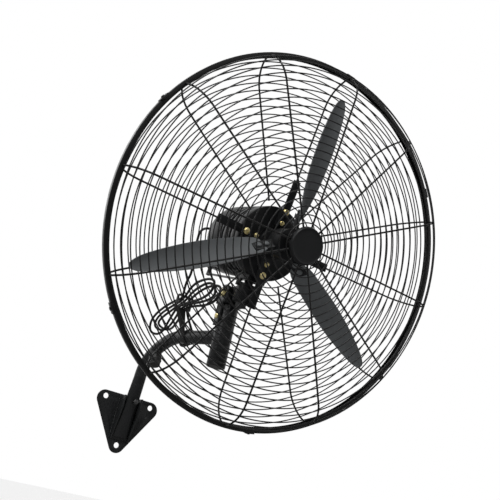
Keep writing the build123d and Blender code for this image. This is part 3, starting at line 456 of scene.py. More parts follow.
bpy.ops.mesh.primitive_circle_add(
    vertices=arm_sides, radius=arm_r * mm, location=(0, arm_y * mm, arm_low * mm)
)
arm = bpy.context.object
arm.name = "arm"
bpy.ops.object.transform_apply(location=True)
edit("EDGE", "SELECT")
drawn((0, 0, arm_rise - arm_low))
elbow_centre = Vector((0, arm_y - elbow_r, arm_rise))
bent(elbow_turn, elbow_centre, (1, 0, 0), elbow_steps)
elbow_end = elbow_centre + elbow_r * Vector((0, math.cos(elbow_turn), math.sin(elbow_turn)))
crown_centre = elbow_end - crown_r * Vector((0, math.cos(elbow_turn), math.sin(elbow_turn)))
bent(crown_turn, crown_centre, (1, 0, 0), crown_steps)
whole_turn = elbow_turn + crown_turn
crown_end = crown_centre + crown_r * Vector((0, math.cos(whole_turn), math.sin(whole_turn)))
heading = Vector((0, -math.sin(whole_turn), math.cos(whole_turn)))
reach = (sleeve_y + sleeve_r - arm_sunk - crown_end.y) / heading.y
drawn(heading * reach)
# back to the rim that the arm started from, for the pressed foot: each step is drawn down and then resized
bpy.ops.mesh.select_all(action="DESELECT")
done()
for vertex in arm.data.vertices:
    vertex.select = abs(vertex.co.z - arm_low * mm) < 0.01 * mm
edit("EDGE")
half_w, half_t, middle_y, level = arm_r, arm_r, arm_y, arm_low
for i in range(1, foot_steps + 2):
    part_way = min(1, i / foot_steps)
    eased = part_way * part_way * (3 - 2 * part_way)
    to_w = arm_r + (foot_half_w - arm_r) * eased
    to_t = arm_r + (foot_half_t - arm_r) * eased
    to_y = arm_y + (foot_y - arm_y) * eased
    to_z = foot_low if i > foot_steps else arm_low + (foot_top - arm_low) * part_way
    drawn((0, to_y - middle_y, to_z - level))
    to_size = (to_w / half_w, to_t / half_t, 1)
    bpy.ops.transform.resize(value=to_size, center_override=(0, to_y * mm, to_z * mm))
    half_w, half_t, middle_y, level = to_w, to_t, to_y, to_z
close_up()
soften(arm, 0.8, limit=50)
settle(arm, hammered, "arm_tube")

# the seam follows the saddle line where the arm's circle meets the sleeve's
arm_end = crown_end + heading * reach
sleeve_bead, seam_r, seam_step = 1.9, arm_r + 0.6, 15
seam = []
for degrees in range(0, 361, seam_step):
    lean = math.radians(degrees)
    aside, rise = seam_r * math.cos(lean), seam_r * math.sin(lean)
    seam_y = sleeve_y + math.sqrt(sleeve_r ** 2 - aside ** 2) + bead_out
    seam.append(Vector((aside, seam_y, arm_end.z + 1 + rise)) * mm)
added(weld("sleeve_weld", list(zip(seam, seam[1:])), sleeve_bead), hammered, "wall_arm")

# ---- arm bolt ----
# One hex bolt and a spacer tube clamp the pressed foot in the cradle. Like the fan's other outer steel
# hardware they are blackened; the brass-plated screws stay bright.
blackened = Finish("blackened_steel", Metallic=1.0)
blackened.mottle((45, 4), shade(0.035), shade(0.07), (0.32, 0.2, 120), (700, 2, 0.15, 0.1))
worked("arm_bolt", blackened, 0.5)
worked("arm_spacer", blackened, 0.3)

# ---- sleeve ----
# An upright 42 mm tube that is welded to the arm and painted with it. Its foot is closed with a moulded
# plastic cap, pushed in.
plastic = Finish("black_plastic", Specular_IOR_Level=0.14)
plastic.mottle((35, 4), shade(0.010), shade(0.017), (0.42, 0.14, 90), (1400, 2, 0.25, 0.12))
sleeve_sides, end_cap_low, end_cap_top, end_cap_r = 64, 108.5, 120, sleeve_r - 0.2
wall_of_sleeve = [(sleeve_r, sleeve_low), (sleeve_r, sleeve_top), (sleeve_bore, sleeve_top),
                  (sleeve_bore, sleeve_low)]
on_sleeve = moved(0, sleeve_y, 0)
sleeve = turned("sleeve_tube", wall_of_sleeve, sleeve_sides, bore=True, place=on_sleeve)
finished(sleeve, 0.6, hammered, "sleeve")
end_cap_steps = [(end_cap_r - 3.8, end_cap_low), (end_cap_r - 1.2, end_cap_low),
                 (end_cap_r, end_cap_low + 0.9), (end_cap_r, sleeve_low - 0.1),
                 (sleeve_bore - 0.2, sleeve_low), (sleeve_bore - 0.8, end_cap_top)]
end_cap = turned("sleeve_end_cap", end_cap_steps, sleeve_sides, place=on_sleeve)
finished(end_cap, 0.3, plastic, "sleeve_cap")

# ---- speed switch ----
# A round plastic housing is saddled to the underside of the arm's bend, and carries a fluted rotary knob
# with a raised pointer.
switch_at, switch_along = Vector((0, -87.4, 171.3)), Vector((0, -0.4307, -0.9025))
knob_from, knob_r, knob_deep, knob_sides = 31.3, 15.5, 13, 48
stem_r, stem_deep, skirt_top = 4, 8, 3
pointer_r, pointer_at, pointer_stretch, pointer_t = 0.9, 9, 3.2, 0.4
worked("switch_housing", plastic, 1.2)
knob_steps = [(stem_r, -stem_deep), (stem_r, 0), (knob_r, 0), (knob_r, skirt_top - 0.6),
              (knob_r - 1, skirt_top), (knob_r - 1.8, knob_deep - 0.8), (knob_r - 3.5, knob_deep)]
knob = turned("knob", knob_steps, knob_sides)
# flutes: every third face of the flank is sunk
edit("FACE", "DESELECT")
done()
for face in knob.data.polygons:
    side = math.floor(math.atan2(face.center.y, face.center.x) * knob_sides / math.tau)
    on_flank = skirt_top < face.center.z / mm < knob_deep - 1 and abs(face.normal.z) < 0.5
    face.select = on_flank and side % 3 == 0
edit()
bpy.ops.mesh.inset(thickness=0.35 * mm, depth=-0.9 * mm)
done()
bpy.ops.mesh.primitive_cylinder_add(
    vertices=12, radius=pointer_r * mm, depth=pointer_t * mm, location=(0, pointer_at * mm, knob_deep * mm)
)
pointer = bpy.context.object
edit()
bpy.ops.transform.resize(value=(1, pointer_stretch, 1), center_override=pointer.location)
done()
bpy.ops.object.transform_apply(location=True)
knob = joined("knob", [knob, pointer])
on_switch = facing(switch_at + switch_along * knob_from, switch_along)
finished(knob, 0.25, plastic, "speed_knob", on_switch)

# ---- tilt fork ----
# A cast fork with a spigot in the sleeve and a tab down its side, which a brass-plated screw clamps there. A
# brass-plated bolt through the cheeks, with a blackened nut, holds the head's tilt.
brass = Finish("brass_hardware", Metallic=1.0)
tarnish = brass.noise(60, 5, 0.6)
brass.feed(
    Base_Color=brass.blend(tarnish, (0.86, 0.76, 0.42, 1), (0.50, 0.41, 0.19, 1)),
    Roughness=0.16 + 0.26 * tarnish,
)
brass.bump(brass.noise(500, 2), 0.2, 0.1)
worked("tilt_fork", hammered, 1.4)


def crossed(piece, top, arm_length, width, depth):
    """Cuts a cross recess into the top of a turned head."""
    for x, y in ((arm_length, width), (width, arm_length)):
        bpy.ops.mesh.primitive_cube_add(size=1, location=(0, 0, top * mm))
        cutter = bpy.context.object
        cutter.scale = (x * mm, y * mm, 2 * depth * mm)
        alone(piece)
        cut = piece.modifiers.new("recess", "BOOLEAN")
        cut.operation = "DIFFERENCE"
        cut.object = cutter
        bpy.ops.object.modifier_apply(modifier=cut.name)
        bpy.data.objects.remove(cutter)


def pan_head(name, radius, height, shank, length):
    """A cross-recessed pan-head screw along z, its head standing on z = 0, with a plain washer under it."""
    washer_r, washer_t = radius * 1.12, 0.9
    steps = [(shank, -length), (shank, 0), (washer_r, 0), (washer_r, washer_t), (radius, washer_t),
             (radius, height * 0.55), (radius * 0.85, height * 0.88), (radius * 0.5, height)]
    head = turned(name, steps, 28)
    crossed(head, height, radius * 1.15, radius * 0.22, height * 0.45)
    soften(head, 0.12)
    return head


def on_cheek(y, z):
    """A place on the fork's left cheek, looking out."""
    return facing((-fork_half - fork_gap, y, z), (-1, 0, 0))


fork_half, fork_gap, clamp_z, tilt_y, tilt_z = 26, 0.05, 219, -430, 272
clamp = pan_head("clamp_pan_screw", radius=5.6, height=4, shank=3, length=13)
settle(put(clamp, on_cheek(sleeve_y, clamp_z)), brass, "clamp_screw")
bolt_r, bolt_long, bolt_washer_r, bolt_washer_t, bolt_head_r, bolt_head_top = 5, 62, 9.4, 1.4, 8.2, 7
bolt_steps = [(bolt_r, -bolt_long), (bolt_r, 0), (bolt_washer_r, 0), (bolt_washer_r, bolt_washer_t),
              (bolt_head_r, bolt_washer_t), (bolt_head_r, bolt_head_top - 0.8),
              (bolt_head_r - 1, bolt_head_top), (4.4, bolt_head_top), (4.2, 3.4)]
tilt_bolt = turned("tilt_socket_bolt", bolt_steps, 30, place=on_cheek(tilt_y, tilt_z))
finished(tilt_bolt, 0.2, brass, "tilt_bolt")
worked("tilt_nut", blackened, 0.7)

# ---- neck and swing pivot ----
# A cast neck tilts in the fork and carries the swing pivot in a bronze bush; the pivot hangs from the saddle
# under the motor and is held by a washer and nut. Enamelled with the motor; the bush is bare.
enamel = Finish("black_enamel", Specular_IOR_Level=0.1, Coat_Roughness=0.2)
worn = enamel.between(enamel.noise(40, 6, 0.7), 0.66, 0.74)
bluish = (0.96, 1, 1.05)
lacquer = enamel.blend(enamel.noise(18, 4), shade(0.007, bluish), shade(0.013, bluish))
enamel.feed(
    Base_Color=enamel.blend(worn * 0.4, lacquer, shade(0.07)),
    Roughness=0.36 + 0.14 * enamel.noise(70) + worn * 0.15,
    Coat_Weight=0.04 - worn * 0.04,
)
enamel.bump(enamel.cells(420) * 0.6 + enamel.noise(1100) * 0.4, 0.4, 0.35)
bronze = Finish("bronze", Metallic=1.0)
bronze.mottle((80, 4), (0.42, 0.27, 0.13, 1), (0.28, 0.17, 0.08, 1), (0.4, 0.15, 160), (800, 2, 0.2, 0.1))
worked("neck", enamel, 1.2)
worked("neck_bush", bronze, 0.3)
worked("link_pin", blackened, 0.3)
worked("pivot_saddle", enamel, 1.0)
worked("pivot_nut", blackened, 0.6)
worked("swing_link", blackened, 0.5)

# ---- motor ----
# Two cast bells close a ribbed shell over the laminated stator. The front bell carries the cage's struts,
# the rear one the gearbox; four long bolts pull the bells together. Black enamel over the castings.
nod = math.radians(15)
head_at = Vector((0, -0.610, 0.359))
on_head = Matrix((
    (1, 0, 0, head_at.x),
    (0, -math.sin(nod), -math.cos(nod), head_at.y),
    (0, math.cos(nod), -math.sin(nod), head_at.z),
    (0, 0, 0, 1),
))
motor_r, motor_front, shell_front, shell_back, motor_back, motor_sides = 82, -72, -96, -168, -240, 72
shaft_hole_r, bell_bore, groove_in, groove_out, groove_deep = 9, 77, 27, 36, 1.6
front_boss_r, front_seat_r, front_floor, front_seat = 25, 20.1, -78, -84
rear_seat_r, rear_floor, rear_seat, dish_r, dish_floor = 21, -225, -213, 40, motor_back + 1.4
front_steps = [
    (shaft_hole_r, motor_front), (groove_in, motor_front), (groove_in + 1, motor_front - groove_deep),
    (groove_out - 1, motor_front - groove_deep), (groove_out, motor_front), (motor_r - 3, motor_front),
    (motor_r - 0.8, motor_front - 0.8), (motor_r, motor_front - 3), (motor_r, shell_front),
    (bell_bore, shell_front), (bell_bore, front_floor), (front_boss_r, front_floor),
    (front_boss_r, shell_front), (front_seat_r, shell_front), (front_seat_r, front_seat),
    (shaft_hole_r, front_seat),
]
front_bell = turned("front_bell", front_steps, motor_sides, bore=True, place=on_head)
finished(front_bell, 0.8, enamel, "motor_front_bell")

fin_count, fin_pitch, fin_gap, fin_deep, shell_bore = 4, 19, 7, 3, 75.1
shell_steps = [(shell_bore, shell_front - 0.1)]
for i in range(fin_count):
    fin_at = shell_front - 0.1 - i * fin_pitch
    shell_steps += [(motor_r, fin_at), (motor_r, fin_at - fin_pitch + fin_gap)]
    shell_steps += [(motor_r - fin_deep, fin_at - fin_pitch + fin_gap)]
    if i < fin_count - 1:
        shell_steps += [(motor_r - fin_deep, fin_at - fin_pitch)]
shell_steps += [(motor_r - fin_deep, shell_back + 0.1), (shell_bore, shell_back + 0.1)]
shell = turned("ribbed_shell", shell_steps, motor_sides, bore=True, place=on_head)
finished(shell, 0.9, enamel, "motor_shell")

rear_steps = [
    (bell_bore, shell_back), (motor_r, shell_back), (motor_r, motor_back + 20),
    (motor_r - 1.8, motor_back + 12), (motor_r - 5.5, motor_back + 5), (motor_r - 12, motor_back),
    (dish_r, motor_back), (dish_r - 2, dish_floor), (shaft_hole_r, dish_floor), (shaft_hole_r, rear_seat),
    (rear_seat_r, rear_seat), (rear_seat_r, rear_floor), (bell_bore, rear_floor),
]
rear_bell = turned("rear_bell", rear_steps, motor_sides, bore=True, place=on_head)
finished(rear_bell, 0.8, enamel, "motor_rear_bell")

bell_bolt_at, bell_washer_r, bell_bolt_r = 60, 6.4, 5
washer_back, bolt_back = motor_back - 1.2, motor_back - 5
head_steps = [(bell_washer_r, motor_back), (bell_washer_r, washer_back), (bell_bolt_r, washer_back),
              (bell_bolt_r, bolt_back + 0.6), (bell_bolt_r - 1, bolt_back)]
through_bolts = []
for i in range(4):
    spot = spun(45 + 90 * i) @ Vector((bell_bolt_at, 0, 0))
    through_bolts.append(put(turned("bell_bolt", head_steps, 18), Matrix.Translation(spot * mm)))
bell_bolts = put(joined("bell_bolts", through_bolts), on_head)
soften(bell_bolts, 0.3)
added(bell_bolts, blackened, "head")

laminations = Finish("laminations", Metallic=1.0)
along_shaft = laminations.node(
    "ShaderNodeMapping", sockets={"Vector": laminations.place(), "Rotation": (-nod, 0, 0)}
)
stack = laminations.node(
    "ShaderNodeTexWave", {"bands_direction": "Z"}, {"Vector": along_shaft, "Scale": 320, "Distortion": 0.5}
)
laminations.feed(Base_Color=laminations.blend(stack, shade(0.16), shade(0.30)), Roughness=0.45 + 0.15 * stack)
laminations.bump(stack, 0.4, 0.2)
steel = Finish("bright_steel", Metallic=1.0)
warm = (1, 0.99, 0.96)
steel.mottle((45, 4), shade(0.42, warm), shade(0.58, warm), (0.28, 0.22, 120), (700, 2, 0.15, 0.1))
worked("stator", laminations, 0.4)
worked("rotor_core", laminations, 0.4)
worked("front_bearing", steel, 0.5)
worked("rear_bearing", steel, 0.5)
worked("shaft", steel, 0.4)

# ---- gearbox, crank, pull knob and gland ----
# The die-cast box on the motor's back turns the worm's drive down to the crank that swings the head. The
# knob on top is pulled up to stop the swing, and the lead enters through a rubber gland on the left.
worked("gearbox", enamel, 1.5)
worked("crank", blackened, 0.6)
worked("crank_clip", blackened, 0.2)
crank_z, pull_top, pull_r, pull_waist_r, pull_low, pull_stem_r = -272, 62, 8, 7.3, 46, 3.5
up_head = spun(-90, "X")
pull_steps = [(pull_stem_r, 12), (pull_stem_r, pull_low), (pull_r - 1.4, pull_low), (pull_r, pull_low + 1.4),
              (pull_r, pull_low + 4), (pull_waist_r, pull_low + 5), (pull_waist_r, pull_top - 5),
              (pull_r, pull_top - 4), (pull_r, pull_top - 1.6), (pull_r - 1.5, pull_top)]
pull = turned("pull_button", pull_steps, 32)
on_crank = on_head @ moved(0, 0, crank_z) @ up_head
finished(pull, 0.3, plastic, "pull_knob", on_crank)
cover_half, cover_top, cover_low, cover_z = 17, 19, -57, -292
looking_back = spun(180, "X")
cover_screws = []
for y in (cover_top, cover_low):
    for x in (-cover_half, cover_half):
        screw = pan_head("cover_screw", radius=3.2, height=2.2, shank=1.5, length=0.5)
        cover_screws.append(put(screw, moved(x, y, cover_z) @ looking_back))
added(put(joined("cover_screws", cover_screws), on_head), blackened, "head")

rubber = Finish("cord_black", Specular_IOR_Level=0.12)
rubber.mottle((50, 4), shade(0.006), shade(0.012), (0.45, 0.15, 140), (900, 2, 0.2, 0.1))
gland_from, gland_y, gland_z, gland_long, gland_flange_r, gland_tip_r = -24, 8, -270, 32, 7.5, 4.5
gland_steps = [(gland_flange_r, 0), (gland_flange_r, 4)]
for i in range(5):
    rib, at = 7.2 - 0.5 * i, 5 + 5 * i
    gland_steps += [(rib, at), (rib, at + 2.4), (rib - 1.1, at + 2.8), (rib - 1.1, at + 4.6)]
gland_steps += [(gland_tip_r, gland_long - 1.5), (gland_tip_r, gland_long)]
gland = turned("gland", gland_steps, 32)
gland_seat = on_head @ moved(gland_from, gland_y, gland_z)
finished(gland, 0.25, rubber, "cord_gland", gland_seat @ spun(-90, "Y"))

# ---- rotor: hub, blades, rivets and nut ----
# Three blades pressed from thin sheet, twisted and dished, are riveted to the pads of a cast hub, and a nut
# holds the hub on the shaft. Blades are sprayed a softer grey-black than the rest.
blade_paint = Finish("black_blade", Specular_IOR_Level=0.07)
grey = (0.95, 1, 1.03)
blade_paint.mottle((22, 5), shade(0.108, grey), shade(0.135, grey), (0.42, 0.12, 55), (1200, 3, 0.3, 0.15))
blade_count, blade_t, blade_camber, blade_sweep, blade_z, blade_angle = 3, 2.0, 3.5 / 38, -9.5, -7.5, 90
# each station out along the blade: its radius, its chord and its pitch in degrees
blade_stations = ((54, 38, 61), (70, 50, 52), (100, 49, 36), (140, 52, 23), (180, 54, 18), (220, 53, 14),
                  (260, 47, 10), (300, 38, 6), (322, 29, 2), (336, 17, 0), (340, 9, 0))
columns, across = len(blade_stations) - 1, 8
parked = 2  # metres that each finished column stands aside, so that the next pick finds only its own


def pick(piece, chosen):
    """Selects the vertices of a piece whose places pass the test, and opens it for editing."""
    edit("VERT", "DESELECT")
    done()
    for vertex in piece.data.vertices:
        vertex.select = chosen(vertex.co)
    edit()


bpy.ops.mesh.primitive_grid_add(x_subdivisions=columns, y_subdivisions=across, size=1)
pressed = bpy.context.object
for j in range(across + 1):
    row = j / across - 0.5
    pick(pressed, lambda at: abs(at.y - row) < 0.01)
    bpy.ops.transform.translate(value=(0, 0, -blade_camber * (1 - 4 * row * row)))
for i, (radius, chord, pitch) in enumerate(blade_stations):
    column = i / columns - 0.5
    pick(pressed, lambda at: abs(at.x - column) < 0.01)
    bpy.ops.transform.resize(value=(1, chord * mm, chord * mm), center_override=(column, 0, 0))
    bpy.ops.transform.rotate(value=math.radians(-pitch), orient_axis="X", center_override=(column, 0, 0))
    aside = radius * mm - column + parked * (i + 1)
    bpy.ops.transform.translate(value=(aside, blade_sweep * mm, blade_z * mm))
for i, (radius, chord, pitch) in enumerate(blade_stations):
    pick(pressed, lambda at: abs(at.x - parked * (i + 1) - radius * mm) < 0.3)
    bpy.ops.transform.translate(value=(-parked * (i + 1), 0, 0))
done()
for kind, settings in (
    ("SUBSURF", {"levels": 2}),
    ("SOLIDIFY", {"thickness": blade_t * mm, "offset": 0}),
):
    modifier = pressed.modifiers.new(kind.lower(), kind)
    for name, value in settings.items():
        setattr(modifier, name, value)
    bpy.ops.object.modifier_apply(modifier=modifier.name)
soften(pressed, 0.5, limit=60)
blade_turns = [spun(blade_angle + 360 / blade_count * i) for i in range(blade_count)]
for i, turn in enumerate(blade_turns):
    blade = copied(pressed, on_head @ turn)
    blade.name = f"pressed_blade_{i + 1}"
    settle(blade, blade_paint, f"blade_{i + 1}")
bpy.data.objects.remove(pressed)

worked("hub", enamel, 0.8)
worked("hub_nut", blackened, 0.8)
# one head of each rivet stands on the blade and the other behind the hub's pad, both leaning with the pad
pad_lean = spun(57, "X")
rivet_radii, shank_r, head_r, tail_r = (48, 66), 4, 6.6, 6
rivet_steps = [(tail_r, -13.4), (tail_r, -12.4), (shank_r, -11.8), (shank_r, -0.6), (head_r, -0.4),
               (head_r, 0.6), (head_r - 1, 2.2), (3, 3.2)]
rivet = turned("rivet", rivet_steps, 20)
soften(rivet, 0.2)
rivets = []
for turn in blade_turns:
    for radius in rivet_radii:
        rivets.append(copied(rivet, on_head @ turn @ moved(radius, blade_sweep, blade_z) @ pad_lean))
bpy.data.objects.remove(rivet)
settle(joined("blade_rivet_heads", rivets), blade_paint, "blade_rivets")

# ---- cage: hoop, guards, clips ----
# Twelve radial wires to a side, with rings spot-welded on their outer face, meet a rolled channel hoop, where
# six sheet clips pinch the two guards together. All dipped in black after welding.
wire_paint = Finish("black_wire", Specular_IOR_Level=0.2)
wire_paint.mottle((30, 5), shade(0.003), shade(0.007), (0.24, 0.18, 65), (700, 3, 0.25, 0.15))
hoop_r, hoop_half, hoop_deep, hoop_t = 390, 6, 10.5, 1.2
hoop_lip, hoop_web = hoop_r - hoop_deep, hoop_r - hoop_t
hoop_steps = [(hoop_lip, -hoop_half), (hoop_r - 0.6, -hoop_half), (hoop_r, -hoop_half + 0.8),
              (hoop_r, hoop_half - 0.8), (hoop_r - 0.6, hoop_half), (hoop_lip, hoop_half),
              (hoop_lip, hoop_half - hoop_t), (hoop_web, hoop_half - hoop_t),
              (hoop_web, -hoop_half + hoop_t), (hoop_lip, -hoop_half + hoop_t)]
hoop = turned("rolled_hoop", hoop_steps, 180, bore=True, place=on_head)
finished(hoop, 0.3, wire_paint, "hoop")

# each side is a flat cone out to the shoulder and bends over there to the hoop
rib_count, rib_r, rib_end_z = 12, 2, hoop_half + 0.9
ring_r, ring_pitch, nugget_r, weld_gap = 1.3, 16.4, 1.7, 0.05
ring_out = rib_r + weld_gap + ring_r
ring_facets = ((130, 48), (260, 96), (hoop_r, 144))  # rings under that radius, segments
cone_rise, cone_slope, shoulder_r, bend_r = 64, 0.03, 325, 62
shoulder_rings = (15, 29, 43, 57)  # degrees round the bend
bend_at = Vector((shoulder_r - cone_slope * bend_r, 0, cone_rise - cone_slope * shoulder_r - bend_r))
rib_turns = [spun(360 / rib_count * i) for i in range(rib_count)]


def guard_wires(name, rib_from, first_ring, ring_count):
    """One guard seen from its outer side: radial wires, rings and the weld nuggets where they cross."""
    lean = math.atan(cone_slope)
    last = math.acos((rib_end_z - bend_at.z) / bend_r)
    start = Vector((rib_from, 0, cone_rise - cone_slope * rib_from))
    bpy.ops.mesh.primitive_circle_add(
        vertices=10, radius=rib_r * mm, rotation=(0, math.radians(90) + lean, 0), location=start * mm
    )
    rib = bpy.context.object
    bpy.ops.object.transform_apply(location=True, rotation=True)
    edit("EDGE", "SELECT")
    meet = bend_at + bend_r * Vector((math.sin(lean), 0, math.cos(lean)))
    drawn(meet - start)
    bent(last - lean, bend_at, (0, 1, 0), 16)
    close_up()
    wires = [copied(rib, turn) for turn in rib_turns]
    bpy.data.objects.remove(rib)
    rings = []
    for i in range(ring_count):
        radius = first_ring + i * ring_pitch
        rings.append((radius, cone_rise - cone_slope * radius + ring_out))
    for degrees in shoulder_rings:
        angle = math.radians(degrees)
        out = bend_r + ring_out
        rings.append((bend_at.x + out * math.sin(angle), bend_at.z + out * math.cos(angle)))
    bpy.ops.mesh.primitive_ico_sphere_add(subdivisions=1, radius=nugget_r * mm)
    nugget = bpy.context.object
    for radius, height in rings:
        segments = next(count for limit, count in ring_facets if radius < limit)
        bpy.ops.mesh.primitive_torus_add(
            major_radius=radius * mm, minor_radius=ring_r * mm, major_segments=segments, minor_segments=8,
            location=(0, 0, height * mm),
        )
        bpy.ops.object.transform_apply(location=True)
        wires.append(bpy.context.object)
        wires += [copied(nugget, turn @ moved(radius, 0, height - ring_r)) for turn in rib_turns]
    bpy.data.objects.remove(nugget)
    wires = joined(name, wires)
    bpy.ops.object.shade_smooth_by_angle(angle=math.radians(50))
    return wires


front_wires = guard_wires("front_wires", rib_from=22, first_ring=46.2, ring_count=18)
settle(put(front_wires, on_head), wire_paint, "front_guard")
rear_wires = guard_wires("rear_wires", rib_from=93, first_ring=95.4, ring_count=15)
settle(put(rear_wires, on_head @ looking_back), wire_paint, "rear_guard")

# a clip is a block with a narrower inner face and a rivet nub on its outer one
clip_angles, clip_long, clip_t, clip_grip = (157.5, 90, 40, -22, -81, -141), 22, 1.5, 4.4
clip_deep, clip_half = clip_grip + clip_t, hoop_half + clip_t + weld_gap
bpy.ops.mesh.primitive_cube_add(size=1)
clip = bpy.context.object
edit()
clip_size = (clip_deep * mm, clip_long * mm, 2 * clip_half * mm)
bpy.ops.transform.resize(value=clip_size, center_override=(0, 0, 0))
bpy.ops.mesh.select_mode(type="FACE")
bpy.ops.mesh.select_all(action="DESELECT")
done()
for face in clip.data.polygons:
    face.select = face.normal.x < -0.9
edit()
bpy.ops.transform.resize(value=(1, 0.8, 1), center_override=(0, 0, 0))
done()
nub = turned("clip_nub", [(3.9, 0), (3.9, 1.2), (3.2, 2.4)], 20)
nub.data.transform(moved(clip_deep / 2, 0, 0) @ spun(90, "Y"))
clip = joined("clip", [clip, nub])
soften(clip, 0.5)
on_hoop = moved(hoop_r + clip_t - clip_deep / 2, 0, 0)
clips = [copied(clip, on_head @ spun(degrees) @ on_hoop) for degrees in clip_angles]
bpy.data.objects.remove(clip)
settle(joined("guard_clips", clips), wire_paint, "hoop_clips")

# ---- centre cap ----
# A pressed cup with a rolled rim covers the inner ends of the front wires and is screwed through to a
# backing plate behind them. Satin enamel, its face left plain.
cap_r, cap_seat, cap_back, cap_rim, cap_face, cap_boss_r = 39, 60.9, 65.3, 72.5, 71.6, 16
backing_r, backing_back, backing_front = 36, 58.3, 60.8
cap_steps = [(cap_boss_r, cap_seat), (cap_boss_r, cap_back), (cap_r - 1, cap_back), (cap_r, cap_back + 0.6),
             (cap_r - 0.2, 67), (cap_r - 2.4, cap_rim - 0.7), (cap_r - 3.2, cap_rim), (cap_r - 4.2, cap_rim),
             (cap_r - 5.2, cap_face), (cap_r - 12, cap_face - 0.1), (cap_r - 30, cap_face)]
cap = turned("rimmed_cap", cap_steps, 72)
# a small ear with its screw stands out of the cap's left side
ear_angle, ear_r, ear_reach, ear_back, ear_top = math.radians(172), 4.8, 38.6, 65.4, 67.9
ear_steps = [(ear_r - 0.4, ear_back), (ear_r, ear_back + 0.4), (ear_r, ear_top - 0.5), (ear_r - 0.5, ear_top),
             (2.8, ear_top), (2.4, ear_top - 0.9)]
ear_screw_steps = [(2, ear_top - 1.1), (2, ear_top - 0.6), (1.2, ear_top)]
ear_screw = turned("ear_screw", ear_screw_steps, 20)
crossed(ear_screw, ear_top, arm_length=2.6, width=0.6, depth=0.5)
ear = joined("cap_ear", [turned("cap_ear", ear_steps, 28), ear_screw])
ear_spot = Vector((math.cos(ear_angle), math.sin(ear_angle), 0)) * ear_reach * mm
ear.data.transform(Matrix.Translation(ear_spot))
cap = joined("rimmed_cap", [cap, ear])
soften(cap, 0.3, limit=28)
settle(put(cap, on_head), enamel, "centre_cap")
backing_steps = [(20, backing_back), (backing_r - 1, backing_back), (backing_r, backing_back + 0.7),
                 (backing_r, backing_front - 0.6), (backing_r - 1, backing_front)]
backing = turned("backing_disc", backing_steps, 64)
finished(backing, 0.2, enamel, "guard_backing", on_head)

# ---- struts ----
# Four folded channels stand on the motor's front bell and run out under the rear guard, each held by a
# large and a small brass-plated pan-head screw.
worked("guard_struts", enamel, 0.6)
strut_count, strut_over_rib = 4, 2.1
strut_screws = []
for radius, head_r in ((48, 5.5), (73, 7.5)):
    seat_z = cone_slope * (radius + head_r) - cone_rise + rib_r + strut_over_rib
    pan = pan_head("strut_screw", radius=head_r * 0.9, height=4.4, shank=2.9, length=12)
    for i in range(strut_count):
        spot = spun(360 / strut_count * i) @ moved(radius, 0, seat_z)
        driven = Matrix.Rotation(0.5 * i + radius, 4, "Z")  # each cross stops at an angle of its own
        strut_screws.append(copied(pan, on_head @ spot @ driven))
    bpy.data.objects.remove(pan)
settle(joined("strut_pan_screws", strut_screws), brass, "strut_screws")

# ---- mains lead ----
# One 6 mm black lead of 2.5 m: it drops from the gland to the arm, is gathered by a tie in three turns that
# hang over the arm's bend, and ends in a moulded plug hung behind them.
cord_d = 6


def lead(name, corners):
    """A lead as a curve along control corners in mm."""
    line = bpy.data.curves.new(name, "CURVE")
    line.dimensions = "3D"
    spline = line.splines.new("NURBS")
    spline.points.add(len(corners) - 1)
    for point, corner in zip(spline.points, corners):
        point.co = (*(Vector(corner) * mm), 1)
    spline.order_u = 3
    spline.use_endpoint_u = True
    line.resolution_u = 10
    piece = bpy.data.objects.new(name, line)
    bpy.context.scene.collection.objects.link(piece)
    return piece


def thickened(piece):
    """Gives a lead's curve its round section."""
    piece.data.bevel_depth = cord_d / 2 * mm
    piece.data.bevel_resolution = 3
    piece.data.use_fill_caps = True
    return piece


def tube_of(piece):
    """A mesh tube round a lead's curve and the points that it follows, for a lead that crosses a joint."""
    bpy.context.view_layer.update()
    middle = bpy.data.meshes.new_from_object(piece)
    path = [vertex.co.copy() for vertex in middle.vertices]
    thickened(piece)
    bpy.context.view_layer.update()
    tube = bpy.data.objects.new(piece.name, bpy.data.meshes.new_from_object(piece))
    name = piece.name
    bpy.data.objects.remove(piece)
    tube.name = name
    bpy.context.scene.collection.objects.link(tube)
    alone(tube)
    bpy.ops.object.shade_smooth()
    return tube, path


gland_tip = head_at / mm + (on_head.to_3x3() @ Vector((gland_from - gland_long, gland_y, gland_z)))
meeting = Vector((-68, -326, 335))
# each turn starts at the tie's top, goes round the wall end, back under the tie and round the front end
hank_turns = (
    ((-47, -262, 275), (-48, -205, 272), (-48, -117, 245), (-35, -95, 210),
     (-16, -132, 205), (-31, -197, 243), (-47, -262, 260),
     (-58, -423, 249), (-56, -441, 286), (-55, -397, 302), (-55, -326, 300)),
    ((-39.8, -262, 275), (-37.4, -213, 269.9), (-34.4, -127, 254.9), (-27.4, -94, 227.9),
     (-11.4, -139, 214.9), (-19.4, -199, 239.9), (-39.8, -262, 260),
     (-48.8, -422, 246), (-45.8, -434, 267), (-48.8, -401, 297), (-46.8, -322, 288)),
    ((-32.6, -262, 275), (-29.8, -207, 265.8), (-29.8, -125, 243.8), (-19.8, -108, 231.8),
     (1.2, -137, 219.8), (-13.8, -208, 235.8), (-32.6, -262, 260),
     (-39.6, -422, 238), (-40.6, -449, 276), (-37.6, -393, 293), (-37.6, -321, 285)),
)
hank_route = [Vector(corner) for turn in hank_turns for corner in turn] + [Vector((-25.4, -262, 275))]
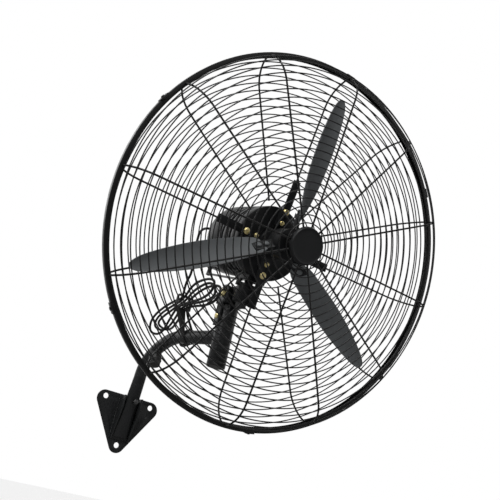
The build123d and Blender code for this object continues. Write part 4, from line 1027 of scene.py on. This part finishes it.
# each part leaves along the way that the one before it arrives, so that the lead runs on without a kink
in_gland, run_on, run_in = 9, 14, 7.8
upper_last = Vector((-83, -345, 378))
upper_corners = (gland_tip + Vector((in_gland, 0, 0)), (-84, -351, 437), upper_last, meeting)
upper, upper_path = tube_of(lead("lead_upper", upper_corners))
upper_way = (meeting - upper_last).normalized()
hank_way = (hank_route[1] - hank_route[0]).normalized()
lower_corners = (meeting, meeting + upper_way * run_on, (-62, -300, 306), hank_route[0] - hank_way * run_in,
                 hank_route[0])
lower, lower_path = tube_of(lead("lead_lower", lower_corners))
hank = thickened(lead("lead_hank", hank_route))
tail_way = (hank_route[-1] - hank_route[-2]).normalized()
plug_root = Vector((31, -197, 196))
tail_corners = (hank_route[-1], hank_route[-1] + tail_way * run_on, (-8, -236, 250), (16, -238, 214),
                (31, -228, 196), plug_root)
tail = thickened(lead("lead_tail", tail_corners))
for piece, node in ((upper, "cord_upper"), (lower, "cord_lower"), (hank, "cord_hank"), (tail, "cord_tail")):
    piece.data.materials.append(rubber.material)
    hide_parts(node)
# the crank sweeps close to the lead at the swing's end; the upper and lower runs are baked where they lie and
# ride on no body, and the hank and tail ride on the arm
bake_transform(upper)
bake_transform(lower)
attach(hank, "wall_arm")
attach(tail, "wall_arm")

# the plug: a ribbed strain relief that widens into a waisted grip, and two round pins
plug_r, plug_waist_r, plug_face, pin_r, pin_tip, pin_apart = 11, 10.2, 28, 2.4, 43.4, 6
plug_steps = [(3.4, -20), (3.6, -17)]
for i in range(4):
    rib, root, at = 4.2 + 0.5 * i, 3.6 + 0.5 * i, -16 + 4 * i
    plug_steps += [(rib, at), (rib, at + 2.4), (root, at + 2.6), (root, at + 3.8)]
plug_steps += [(8.4, 1), (10.4, 4), (plug_r, 8), (plug_r, 11), (plug_waist_r, 12), (plug_waist_r, 20),
               (plug_r, 21), (plug_r, plug_face - 1), (plug_waist_r, plug_face)]
plug_body = turned("plug_body", plug_steps, 40)
plug_pins = []
for x in (-pin_apart, pin_apart):
    pin = turned("plug_pin", [(pin_r, plug_face), (pin_r, pin_tip - 1.8), (pin_r - 0.8, pin_tip)], 20)
    plug_pins.append(put(pin, moved(x, 0, 0)))
at_plug = Matrix.Translation(plug_root * mm) @ spun(-90, "X")
finished(plug_body, 0.3, rubber, "plug", at_plug)
plug_pins = joined("plug_pins", plug_pins)
soften(plug_pins, 0.2)
added(put(plug_pins, at_plug), brass, "wall_arm")

tie = Finish("tie_black", Specular_IOR_Level=0.12)
loops = tie.node(
    "ShaderNodeTexWave", {"bands_direction": "Y"},
    {"Vector": tie.place(), "Scale": 180, "Distortion": 3, "Detail": 2},
)
tie.feed(Base_Color=tie.blend(tie.noise(60, 4), shade(0.008), shade(0.02)), Roughness=0.6 + 0.2 * loops)
tie.bump(loops * 0.5 + tie.noise(900) * 0.5, 0.5, 0.3)
hank_tie = worked("hank_tie", tie, 0.5)
